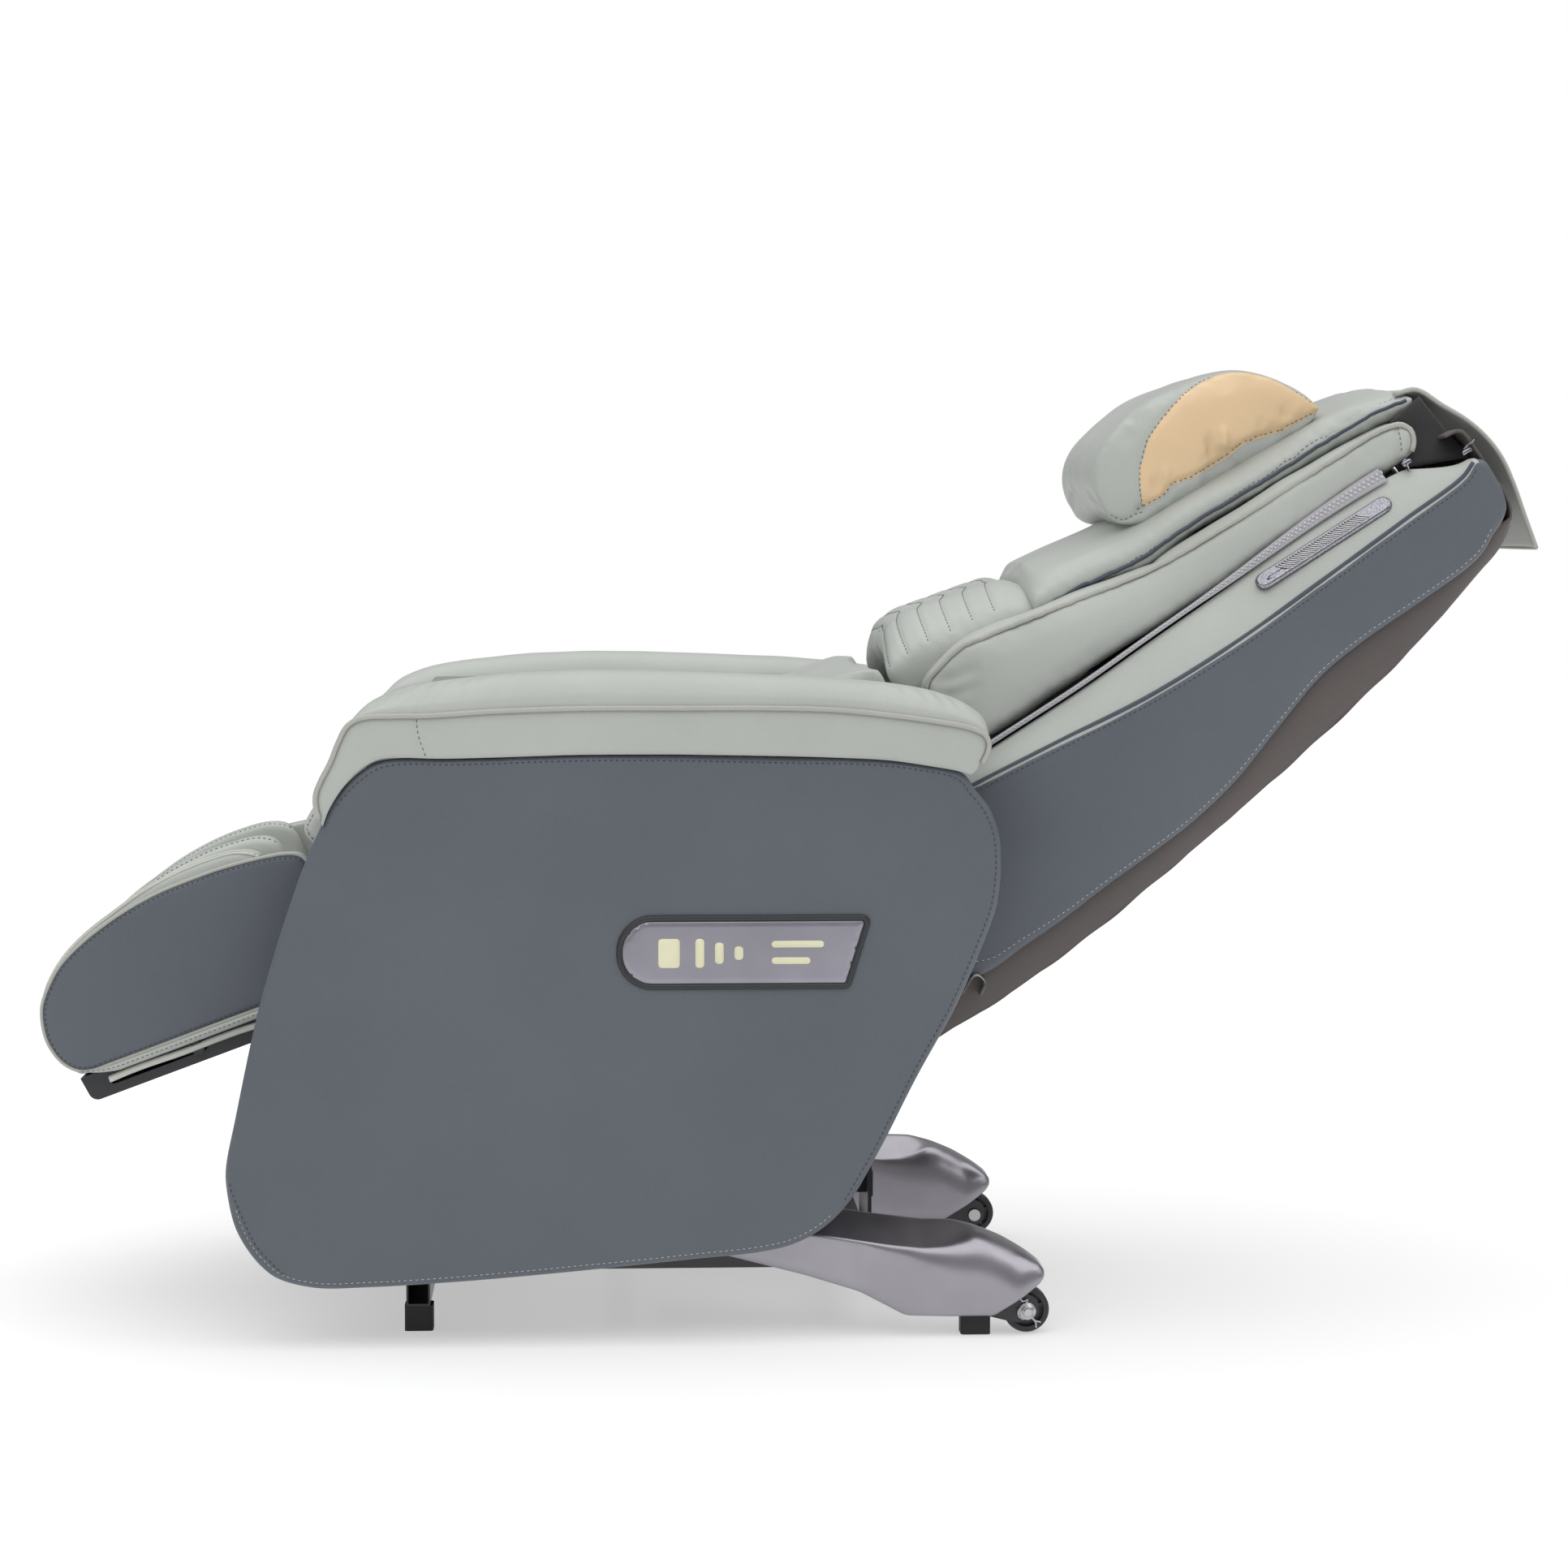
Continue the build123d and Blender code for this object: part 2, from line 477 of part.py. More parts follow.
def along_line(start, end, distance):
    """Place on the line from start to end, a distance from start."""
    run = math.dist(start, end)
    return tuple(a + (b - a) * distance / run for a, b in zip(start, end))


def actuator(name, mount, lug, body_length, ring_r):
    """Housing with an eye on the mount pin, and a rod that ends in a loose ring."""
    reach = math.dist(mount, lug)
    front = along_line(mount, lug, body_length)
    housing = bar(along_line(mount, lug, 26), front, ACTUATOR_R)
    housing += rod(-EYE_HALF, EYE_HALF, mount, 12)
    housing += bar(mount, along_line(mount, lug, 28), EYE_HALF - 0.5)
    housing -= rod(-EYE_HALF - 1, EYE_HALF + 1, mount, MOUNT_PIN_R + RUN)
    bore_end = along_line(mount, lug, body_length + 5)
    housing -= bar(along_line(mount, lug, 34), bore_end, ROD_R + 0.4)
    save(name + "_housing", housing)
    tip = along_line(mount, lug, reach - ring_r - 2)
    piston = bar(along_line(mount, lug, ROD_START), tip, ROD_R)
    piston += rod(-EYE_HALF, EYE_HALF, lug, ring_r + 5)
    piston -= rod(-EYE_HALF - 1, EYE_HALF + 1, lug, ring_r)
    save(name + "_rod", piston)


actuator("recline_actuator", RECLINE_MOUNT, BACK_LUG, 262, 12.5)
actuator("legrest_actuator", LEGREST_MOUNT, LEG_LUG, 270, 13)

EAR_X = (9, 13)
recline_ear = prism([(-194, RAIL_Z[1], 1), (-169, RAIL_Z[1], 1), (-172, 114, 9), (-190, 114, 9)], *EAR_X)
legrest_ear = prism([(-35.2, 396, 1), (-35.2, 419, 1), (-70, 415, 9), (-70, 396, 9)], *EAR_X)
recline_mount = recline_ear + mirrored(recline_ear)
recline_mount += rod(-EAR_X[1], EAR_X[1], RECLINE_MOUNT, MOUNT_PIN_R)
legrest_mount = legrest_ear + mirrored(legrest_ear)
legrest_mount += rod(-EAR_X[1], EAR_X[1], LEGREST_MOUNT, MOUNT_PIN_R)
save("pivot_brackets", *pair(recline_hinge), *pair(leg_hinge), recline_mount, legrest_mount)
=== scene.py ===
import json
import math

import bmesh
import bpy
import numpy as np
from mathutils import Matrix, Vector, noise
from mathutils.bvhtree import BVHTree
from mathutils.geometry import delaunay_2d_cdt


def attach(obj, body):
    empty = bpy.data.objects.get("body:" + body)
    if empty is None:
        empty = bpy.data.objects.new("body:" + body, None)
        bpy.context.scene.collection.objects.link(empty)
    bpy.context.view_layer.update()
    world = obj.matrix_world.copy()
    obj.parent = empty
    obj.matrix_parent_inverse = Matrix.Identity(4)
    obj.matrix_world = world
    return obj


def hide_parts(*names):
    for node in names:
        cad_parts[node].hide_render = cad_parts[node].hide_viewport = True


# Looks of the massage chair. Side-view shapes are lists of (along, out) in millimetres
# from a hinge, and x is across the chair.
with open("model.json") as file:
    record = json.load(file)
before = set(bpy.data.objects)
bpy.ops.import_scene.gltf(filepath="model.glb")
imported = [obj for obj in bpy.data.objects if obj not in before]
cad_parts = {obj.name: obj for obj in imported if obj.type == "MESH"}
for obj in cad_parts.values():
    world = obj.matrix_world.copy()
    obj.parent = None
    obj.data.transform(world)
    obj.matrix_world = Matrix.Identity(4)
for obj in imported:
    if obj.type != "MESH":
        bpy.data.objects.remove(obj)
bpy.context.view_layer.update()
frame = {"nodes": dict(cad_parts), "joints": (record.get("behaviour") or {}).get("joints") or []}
MM = 0.001
RECLINE_ANGLE = 32.5
LEG_ANGLE = 20.3


# Side-view frames
class Slope:
    """Places along a slope: a along it, b out of its face, x across the chair."""

    def __init__(self, origin, degrees, forward=1):
        angle = math.radians(degrees)
        self.origin = np.array([0.0, origin[1], origin[2]])
        self.along = np.array([0, forward * math.cos(angle), forward * math.sin(angle)])
        self.out = np.array([0, -math.sin(angle), math.cos(angle)])

    def place(self, x, a, b):
        x, a, b = np.broadcast_arrays(np.asarray(x, float), np.asarray(a, float), np.asarray(b, float))
        spot = self.origin + (a[..., None] * self.along + b[..., None] * self.out) * MM
        spot[..., 0] += x * MM
        return spot

    def line(self, x, pairs):
        pairs = np.asarray(pairs, float)
        return self.place(x, pairs[:, 0], pairs[:, 1])

    def read(self, points):
        """x, a and b in millimetres of points in metres."""
        from_hinge = (points - self.origin) / MM
        return points[:, 0] / MM, from_hinge @ self.along, from_hinge @ self.out


def hinge(name):
    return next(j["pos_m"] for j in frame["joints"] if j["name"] == name)


BASE = Slope((0, 0, 0), 0)
BACK = Slope(hinge("recline"), RECLINE_ANGLE)
LEG = Slope(hinge("legrest_lift"), LEG_ANGLE, forward=-1)


# Lines
def resample(points, step, closed=False):
    """The same line with evenly spaced points."""
    points = np.asarray(points, float)
    if closed:
        points = np.vstack([points, points[:1]])
    length = np.r_[0, np.cumsum(np.linalg.norm(np.diff(points, axis=0), axis=1))]
    count = max(2, int(round(length[-1] / step)))
    at = np.linspace(0, length[-1], count + 1)
    even = np.stack([np.interp(at, length, points[:, k]) for k in range(points.shape[1])], 1)
    return even[:-1] if closed else even


def curve(points, step, closed=False):
    """Evenly spaced points on a smooth line through the given ones."""
    p = np.asarray(points, float)
    if closed:
        p = np.vstack([p[-1:], p, p[:2]])
    else:
        p = np.vstack([2 * p[0] - p[1], p, 2 * p[-1] - p[-2]])
    t = np.r_[0, np.cumsum(np.linalg.norm(np.diff(p, axis=0), axis=1) ** 0.5 + 1e-9)]
    found = []
    for i in range(1, len(p) - 2):
        at = np.linspace(t[i], t[i + 1], 14)[:-1, None]
        a1 = ((t[i] - at) * p[i - 1] + (at - t[i - 1]) * p[i]) / (t[i] - t[i - 1])
        a2 = ((t[i + 1] - at) * p[i] + (at - t[i]) * p[i + 1]) / (t[i + 1] - t[i])
        a3 = ((t[i + 2] - at) * p[i + 1] + (at - t[i + 1]) * p[i + 2]) / (t[i + 2] - t[i + 1])
        b1 = ((t[i + 1] - at) * a1 + (at - t[i - 1]) * a2) / (t[i + 1] - t[i - 1])
        b2 = ((t[i + 2] - at) * a2 + (at - t[i]) * a3) / (t[i + 2] - t[i])
        found.append(((t[i + 1] - at) * b1 + (at - t[i]) * b2) / (t[i + 1] - t[i]))
    found = np.vstack(found + ([] if closed else [p[-2:-1]]))
    return resample(found, step, closed)


def filleted(corners, step):
    """Closed outline from (a, b, corner radius) entries."""
    p = np.array([c[:2] for c in corners], float)
    found = []
    for i, (a, b, radius) in enumerate(corners):
        before = p[i - 1] - p[i]
        after = p[(i + 1) % len(p)] - p[i]
        before /= np.linalg.norm(before)
        after /= np.linalg.norm(after)
        half = math.acos(np.clip(before @ after, -1, 1)) / 2
        if radius <= 0 or half > 1.55:
            found.append(p[i])
            continue
        reach = radius / math.tan(half)
        middle = (before + after) / np.linalg.norm(before + after)
        centre = p[i] + middle * radius / math.sin(half)
        start, end = p[i] + before * reach - centre, p[i] + after * reach - centre
        for t in np.linspace(0, 1, 12):
            turn = start * (1 - t) + end * t
            found.append(centre + turn / np.linalg.norm(turn) * radius)
    return resample(np.array(found), step, closed=True)


def nearest(points, line, closed=False):
    """Distance from each point to a line of points, and the place along it."""
    ends = np.roll(line, -1, 0) if closed else line[1:]
    starts = line if closed else line[:-1]
    best = np.full(len(points), 1e9)
    where = np.zeros(len(points))
    walked = 0.0
    for a, b in zip(starts, ends):
        step = b - a
        size = float(step @ step)
        if size < 1e-18:
            continue
        t = np.clip((points - a) @ step / size, 0, 1)
        d = np.linalg.norm(points - a - t[:, None] * step, axis=1)
        better = d < best
        best[better] = d[better]
        where[better] = (walked + t * math.sqrt(size))[better]
        walked += math.sqrt(size)
    return best, where


def inside(points, outline):
    """Which points lie within a closed outline."""
    x, y = points[:, 0], points[:, 1]
    found = np.zeros(len(points), bool)
    for (x0, y0), (x1, y1) in zip(outline, np.roll(outline, -1, 0)):
        if y0 != y1:
            cross = (y0 > y) != (y1 > y)
            found ^= cross & (x < (x1 - x0) * (y - y0) / (y1 - y0) + x0)
    return found


def inset(outline, distance):
    """Closed outline moved inwards."""
    along = np.roll(outline, -1, 0) - np.roll(outline, 1, 0)
    normal = np.stack([-along[:, 1], along[:, 0]], 1)
    normal /= np.linalg.norm(normal, axis=1)[:, None]
    area = np.cross(outline, np.roll(outline, -1, 0)).sum()
    return outline + normal * distance * (1 if area > 0 else -1)


# Meshes
def link_object(name, data):
    made = bpy.data.objects.new(name, data)
    bpy.context.scene.collection.objects.link(made)
    return made


def new_object(name, points, faces, *looks):
    mesh = bpy.data.meshes.new(name)
    mesh.from_pydata([tuple(p) for p in points], [], [tuple(f) for f in faces])
    mesh.validate()
    piece = link_object(name, mesh)
    for look in looks:
        mesh.materials.append(look)
    tidy_normals(piece)
    return piece


def tidy_normals(piece):
    bm = bmesh.new()
    bm.from_mesh(piece.data)
    bmesh.ops.recalc_face_normals(bm, faces=bm.faces)
    for face in bm.faces:
        face.smooth = True
    bm.to_mesh(piece.data)
    bm.free()


def get_points(piece):
    points = np.zeros(len(piece.data.vertices) * 3)
    piece.data.vertices.foreach_get("co", points)
    return points.reshape(-1, 3)


def set_points(piece, points):
    piece.data.vertices.foreach_set("co", np.asarray(points, float).ravel())
    piece.data.update()


def get_normals(piece):
    piece.data.update()
    normals = np.zeros(len(piece.data.vertices) * 3)
    piece.data.vertices.foreach_get("normal", normals)
    return normals.reshape(-1, 3)


def apply_modifiers(piece):
    """Make the modified shape the piece's own mesh."""
    shown = piece.evaluated_get(bpy.context.evaluated_depsgraph_get())
    mesh = bpy.data.meshes.new_from_object(shown)
    looks = [m for m in piece.data.materials]
    piece.modifiers.clear()
    piece.data = mesh
    mesh.materials.clear()
    for look in looks:
        mesh.materials.append(look)
    mesh.polygons.foreach_set("use_smooth", [True] * len(mesh.polygons))


def subdivide(piece):
    step = piece.modifiers.new("Subdivision", "SUBSURF")
    step.levels = 1
    apply_modifiers(piece)


def mirrored(piece):
    """The right-hand copy of a left-hand piece."""
    twin = link_object(piece.name.replace("Left", "Right"), piece.data.copy())
    set_points(twin, get_points(twin) * [-1, 1, 1])
    twin.data.flip_normals()
    return twin


def thicken(piece, thickness, **settings):
    """Give a sheet its thickness in millimetres."""
    solid = piece.modifiers.new("Solid", "SOLIDIFY")
    solid.thickness = thickness * MM
    for key, value in settings.items():
        setattr(solid, key, value)


def crease(piece, line, width, depth, fade=0.0):
    """Press a line into the surface, or raise it when depth is negative. Millimetres."""
    line = np.asarray(line)
    points, normals = get_points(piece), get_normals(piece)
    low, high = line.min(0) - 4 * width * MM, line.max(0) + 4 * width * MM
    near = np.all((points > low) & (points < high), axis=1)
    if not near.any():
        return
    distance, place = nearest(points[near], line)
    push = depth * np.exp(-((distance / MM / width) ** 2))
    if fade:
        length = np.linalg.norm(np.diff(line, axis=0), axis=1).sum()
        push *= np.clip(place / (fade * MM), 0, 1) * np.clip((length - place) / (fade * MM), 0, 1)
    points[near] -= normals[near] * push[:, None] * MM
    set_points(piece, points)


def crumple(piece, size, depth, where=None):
    """Gentle unevenness of padded leather."""
    points, normals = get_points(piece), get_normals(piece)
    amount = np.array([noise.noise(Vector(p / (size * MM))) for p in points])
    if where is not None:
        amount *= where(points, normals)
    set_points(piece, points + normals * amount[:, None] * depth * MM)


def loft(name, rings, look, closed_ends=True):
    """Tube-like mesh through rings of equal point counts."""
    rings = np.asarray(rings)
    count, size = rings.shape[:2]
    faces = []
    for i in range(count - 1):
        for j in range(size):
            k = (j + 1) % size
            faces.append((i * size + j, i * size + k, (i + 1) * size + k, (i + 1) * size + j))
    points = rings.reshape(-1, 3)
    if closed_ends:
        points = np.vstack([points, rings[0].mean(0), rings[-1].mean(0)])
        for j in range(size):
            k = (j + 1) % size
            faces.append((count * size, k, j))
            last = (count - 1) * size
            faces.append((count * size + 1, last + j, last + k))
    return new_object(name, points, faces, look)


def strip(name, rows, look):
    """Open sheet through rows of equal point counts."""
    rows = np.asarray(rows)
    count, size = rows.shape[:2]
    faces = [
        (i * size + j, i * size + j + 1, (i + 1) * size + j + 1, (i + 1) * size + j)
        for i in range(count - 1)
        for j in range(size - 1)
    ]
    return new_object(name, rows.reshape(-1, 3), faces, look)


def frames_along(line, closed=False):
    """Two directions square to a line at each of its points."""
    ahead = np.roll(line, -1, 0) - np.roll(line, 1, 0)
    if not closed:
        ahead[0], ahead[-1] = line[1] - line[0], line[-1] - line[-2]
    ahead /= np.linalg.norm(ahead, axis=1)[:, None]
    up = np.cross(ahead[0], [1.0, 0.02, 0.03])
    up /= np.linalg.norm(up)
    first = []
    for a in ahead:
        up = up - a * (a @ up)
        up /= np.linalg.norm(up)
        first.append(up)
    first = np.array(first)
    return first, np.cross(ahead, first)


def cord_mesh(name, line, radius, look, closed=False, sides=10):
    """Round welt or wire along a line in metres; radius in millimetres."""
    one, two = frames_along(line, closed)
    turn = np.linspace(0, 2 * math.pi, sides, endpoint=False)
    ring = np.cos(turn)[None, :, None] * one[:, None] + np.sin(turn)[None, :, None] * two[:, None]
    rings = line[:, None] + ring * radius * MM
    if closed:
        rings = np.concatenate([rings, rings[:1]])
        piece = loft(name, rings, look, closed_ends=False)
        bm = bmesh.new()
        bm.from_mesh(piece.data)
        bmesh.ops.remove_doubles(bm, verts=bm.verts, dist=1e-6)
        bm.to_mesh(piece.data)
        bm.free()
        return piece
    return loft(name, rings, look)


def snap(lines, surface, lift=0.0):
    """Lines moved on to a surface, with the surface direction at each point."""
    tree = BVHTree.FromObject(surface, bpy.context.evaluated_depsgraph_get())
    found = []
    for line in lines:
        spots, outward = [], []
        for p in line:
            hit, normal, _, _ = tree.find_nearest(Vector(p))
            spots.append(np.array(hit) + np.array(normal) * lift * MM)
            outward.append(np.array(normal))
        found.append((np.array(spots), np.array(outward)))
    return found


def lay(line, surface, lift=0.0):
    """One line moved on to a surface."""
    return snap([line], surface, lift)[0][0]


THREAD_LIFT = 0.15


def stitches(name, lines, surface, look, length=3.6, gap=2.4, radius=0.45, closed=False):
    """Rows of thread stitches lying on a surface, as one mesh."""
    points, faces = [], []
    sides = 5
    turn = np.linspace(0, 2 * math.pi, sides, endpoint=False)
    even = [resample(line, (length + gap) * MM, closed) for line in lines]
    for spots, outward in snap(even, surface, THREAD_LIFT):
        for i in range(len(spots) - 1):
            ahead = spots[i + 1] - spots[i]
            size = np.linalg.norm(ahead)
            if size < 1e-6:
                continue
            ahead /= size
            across = np.cross(outward[i], ahead)
            across /= np.linalg.norm(across) + 1e-12
            start = len(points)
            for t, r, up in ((0.0, 0.35, -0.2), (0.25, 1.0, 0.25), (0.75, 1.0, 0.25), (1.0, 0.35, -0.2)):
                middle = spots[i] + ahead * length * MM * t + outward[i] * up * MM
                for angle in turn:
                    points.append(
                        middle + (across * math.cos(angle) + outward[i] * math.sin(angle)) * radius * r * MM
                    )
            for ring in range(3):
                for j in range(sides):
                    k = (j + 1) % sides
                    a = start + ring * sides
                    faces.append((a + j, a + k, a + sides + k, a + sides + j))
            faces.append(tuple(start + j for j in reversed(range(sides))))
            faces.append(tuple(start + 3 * sides + j for j in range(sides)))
    return new_object(name, points, faces, look)


def split_by(piece, value, look):
    """Give the part of a piece where value is above zero another material, with a clean edge."""
    points = get_points(piece)
    level = value(points)
    level[np.abs(level) < 1e-6] = 1e-6
    bm = bmesh.new()
    bm.from_mesh(piece.data)
    bm.verts.ensure_lookup_table()
    new = []
    heights = {v: level[v.index] for v in bm.verts}
    for edge in list(bm.edges):
        a, b = edge.verts
        if heights[a] * heights[b] < 0:
            t = heights[a] / (heights[a] - heights[b])
            _, vert = bmesh.utils.edge_split(edge, a, min(max(t, 0.02), 0.98))
            heights[vert] = 0.0
            new.append(vert)
    bmesh.ops.connect_verts(bm, verts=new)
    piece.data.materials.append(look)
    index = len(piece.data.materials) - 1
    for face in bm.faces:
        if sum(heights[v] for v in face.verts) > 0:
            face.material_index = index
    bm.to_mesh(piece.data)
    bm.free()
    return piece


def flat_mesh(outline, lines=(), rings=(), grid=9):
    """Triangles that fill a closed outline, finer beside its edge and beside lines."""
    n = len(outline)
    loose = [inset(outline, d) for d in rings]
    for line in lines:
        even = resample(line, 3)
        ahead = np.gradient(even, axis=0)
        ahead /= np.linalg.norm(ahead, axis=1)[:, None] + 1e-9
        square = np.stack([-ahead[:, 1], ahead[:, 0]], 1)
        loose += [even + square * shift for shift in (-5, -2, 0, 2, 5)]
    low, high = outline.min(0), outline.max(0)
    gx, gy = np.meshgrid(np.arange(low[0], high[0], grid), np.arange(low[1], high[1], grid * 0.87))
    gx[::2] += grid / 2
    loose.append(np.stack([gx.ravel(), gy.ravel()], 1))
    kept, taken = [], set()
    first = rings[0] if rings else 3
    for group_number, group in enumerate(loose):
        group = group[inside(group, outline)]
        away, _ = nearest(group, outline, closed=True)
        limit = rings[group_number] * 0.93 if group_number < len(rings) else first * 0.9
        if group_number == len(loose) - 1 and rings:
            limit = rings[-1] + 3
        for p in group[away > limit]:
            cell = (round(p[0] / 1.6), round(p[1] / 1.6))
            if cell not in taken:
                taken.add(cell)
                kept.append(p)
    everything = np.vstack([outline, np.array(kept).reshape(-1, 2)])
    points, _, faces, origin, _, _ = delaunay_2d_cdt(
        [Vector(p) for p in everything], [], [list(range(n))], 1, 1e-6
    )
    border = {}
    for index, sources in enumerate(origin):
        for s in sources:
            if s < n:
                border[s] = index
    return np.array([tuple(p) for p in points]), faces, [border[i] for i in range(n)]


def panel(name, slope, outline, x_out, x_in, look, radius=7, crown=3.0, spread=40, lines=(), grid=9, back=2):
    """Padded flat panel with a soft edge. x_out is the shown face."""
    rings = [radius * f for f in (0.08, 0.2, 0.38, 0.62, 1.0)] + [radius + 5]
    flat, faces, border = flat_mesh(outline, lines, rings, grid)
    away, _ = nearest(flat, outline, closed=True)
    away[border] = 0
    part = np.clip(away / radius, 0, 1)
    drop = radius * (1 - np.sqrt(1 - (1 - part) ** 2))
    rise = crown * (1 - np.exp(-np.clip(away - radius * 0.3, 0, None) / spread))
    sign = 1 if x_out > x_in else -1
    front = slope.place(x_out + sign * (rise - drop), flat[:, 0], flat[:, 1])
    hollow = np.clip(back - away, 0, back)
    rear = slope.place(x_in + sign * hollow, flat[:, 0], flat[:, 1])
    count = len(flat)
    points = np.vstack([front, rear])
    faces = [tuple(f) for f in faces] + [tuple(i + count for i in reversed(f)) for f in faces]
    size = len(border)
    for i in range(size):
        j = (i + 1) % size
        faces.append((border[i], border[j], border[j] + count, border[i] + count))
    return new_object(name, points, faces, look)


def prism(name, slope, outline, x_low, x_high, look):
    """Plain closed prism, the start of a soft piece."""
    flat, faces, border = flat_mesh(outline, grid=14)
    count = len(flat)
    layers = max(2, int((x_high - x_low) / 14))
    points = [slope.place(x_low, flat[:, 0], flat[:, 1]), slope.place(x_high, flat[:, 0], flat[:, 1])]
    rim = flat[border]
    between = np.linspace(x_low, x_high, layers + 1)[1:-1]
    points += [slope.place(x, rim[:, 0], rim[:, 1]) for x in between]
    faces = [tuple(reversed(f)) for f in faces] + [tuple(i + count for i in f) for f in faces]
    size = len(border)
    rows = [border] + [[2 * count + k * size + i for i in range(size)] for k in range(len(between))]
    rows.append([b + count for b in border])
    for one, two in zip(rows, rows[1:]):
        for i in range(size):
            j = (i + 1) % size
            faces.append((one[i], one[j], two[j], two[i]))
    return new_object(name, np.vstack(points), faces, look)


SOFT = []
CLOTH_FRAMES = 20


def soft_body(name, slope, outline, x_low, x_high, look, shrink=5, cap=12, voxel=6.0, smooth=8, pressure=4.0):
    """A cushion before it is inflated: a smaller rounded block of even faces."""
    start = prism(name, slope, inset(outline, shrink), x_low + shrink, x_high - shrink, look)
    remesh = start.modifiers.new("Remesh", "REMESH")
    remesh.mode = "VOXEL"
    remesh.voxel_size = voxel * MM
    even = start.modifiers.new("Smooth", "SMOOTH")
    even.factor = 0.5
    even.iterations = smooth
    apply_modifiers(start)
    SOFT.append((start, cap, pressure))
    return start


def inflate_all():
    """Fill every cushion by cloth simulation, all in one run, and cap how far it swells."""
    starts = [get_points(piece) for piece, _, _ in SOFT]
    for piece, _, pressure in SOFT:
        cloth = piece.modifiers.new("Cloth", "CLOTH")
        settings = cloth.settings
        settings.quality = 5
        settings.mass = 0.3
        settings.use_pressure = True
        settings.uniform_pressure_force = pressure
        settings.tension_stiffness = 25
        settings.compression_stiffness = 25
        settings.shear_stiffness = 10
        settings.bending_stiffness = 2.0
        settings.effector_weights.gravity = 0
        cloth.collision_settings.use_collision = False
        cloth.collision_settings.use_self_collision = False
        cloth.point_cache.frame_start = 1
        cloth.point_cache.frame_end = CLOTH_FRAMES
    for number in range(1, CLOTH_FRAMES + 1):
        bpy.context.scene.frame_set(number)
    for (piece, cap, _), start in zip(SOFT, starts):
        apply_modifiers(piece)
        moved = get_points(piece) - start
        size = np.linalg.norm(moved, axis=1)[:, None] + 1e-12
        limited = cap * MM * np.tanh(size / (cap * MM))
        set_points(piece, start + moved / size * limited)
        subdivide(piece)
    bpy.context.scene.frame_set(1)


def put(piece, body, slot, *nodes, fill=None):
    """Fix a piece to its body and hide the parts it stands for; fill, how soft it is, is not used."""
    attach(piece, body)
    if nodes:
        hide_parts(*nodes)
    return piece


def put_both(piece, body, slot, *nodes, fill=None):
    """Fit a left-hand piece and its right-hand copy."""
    twin = mirrored(piece)
    for one in (piece, twin):
        put(one, body, slot, *nodes, fill=fill)
    return twin


def join(name, pieces):
    """Several meshes as one piece."""
    points, faces, index, looks, start = [], [], [], [], 0
    for piece in pieces:
        shift = len(looks)
        looks += list(piece.data.materials)
        here = get_points(piece)
        points.append(here)
        faces += [tuple(v + start for v in f.vertices) for f in piece.data.polygons]
        index += [shift + f.material_index for f in piece.data.polygons]
        start += len(here)
        bpy.data.objects.remove(piece)
    mesh = bpy.data.meshes.new(name)
    mesh.from_pydata(np.vstack(points).tolist(), [], faces)
    whole = link_object(name, mesh)
    for look in looks:
        mesh.materials.append(look)
    mesh.polygons.foreach_set("material_index", index)
    mesh.polygons.foreach_set("use_smooth", [True] * len(faces))
    return whole


# Materials
def srgb(*values):
    """Linear colour from 0 to 255 display values."""
    linear = [v / 255 for v in values]
    linear = [v / 12.92 if v <= 0.04045 else ((v + 0.055) / 1.055) ** 2.4 for v in linear]
    return (*linear, 1.0)


def shade(color, factor):
    return tuple(min(1.0, c * factor) for c in color[:3]) + (1.0,)


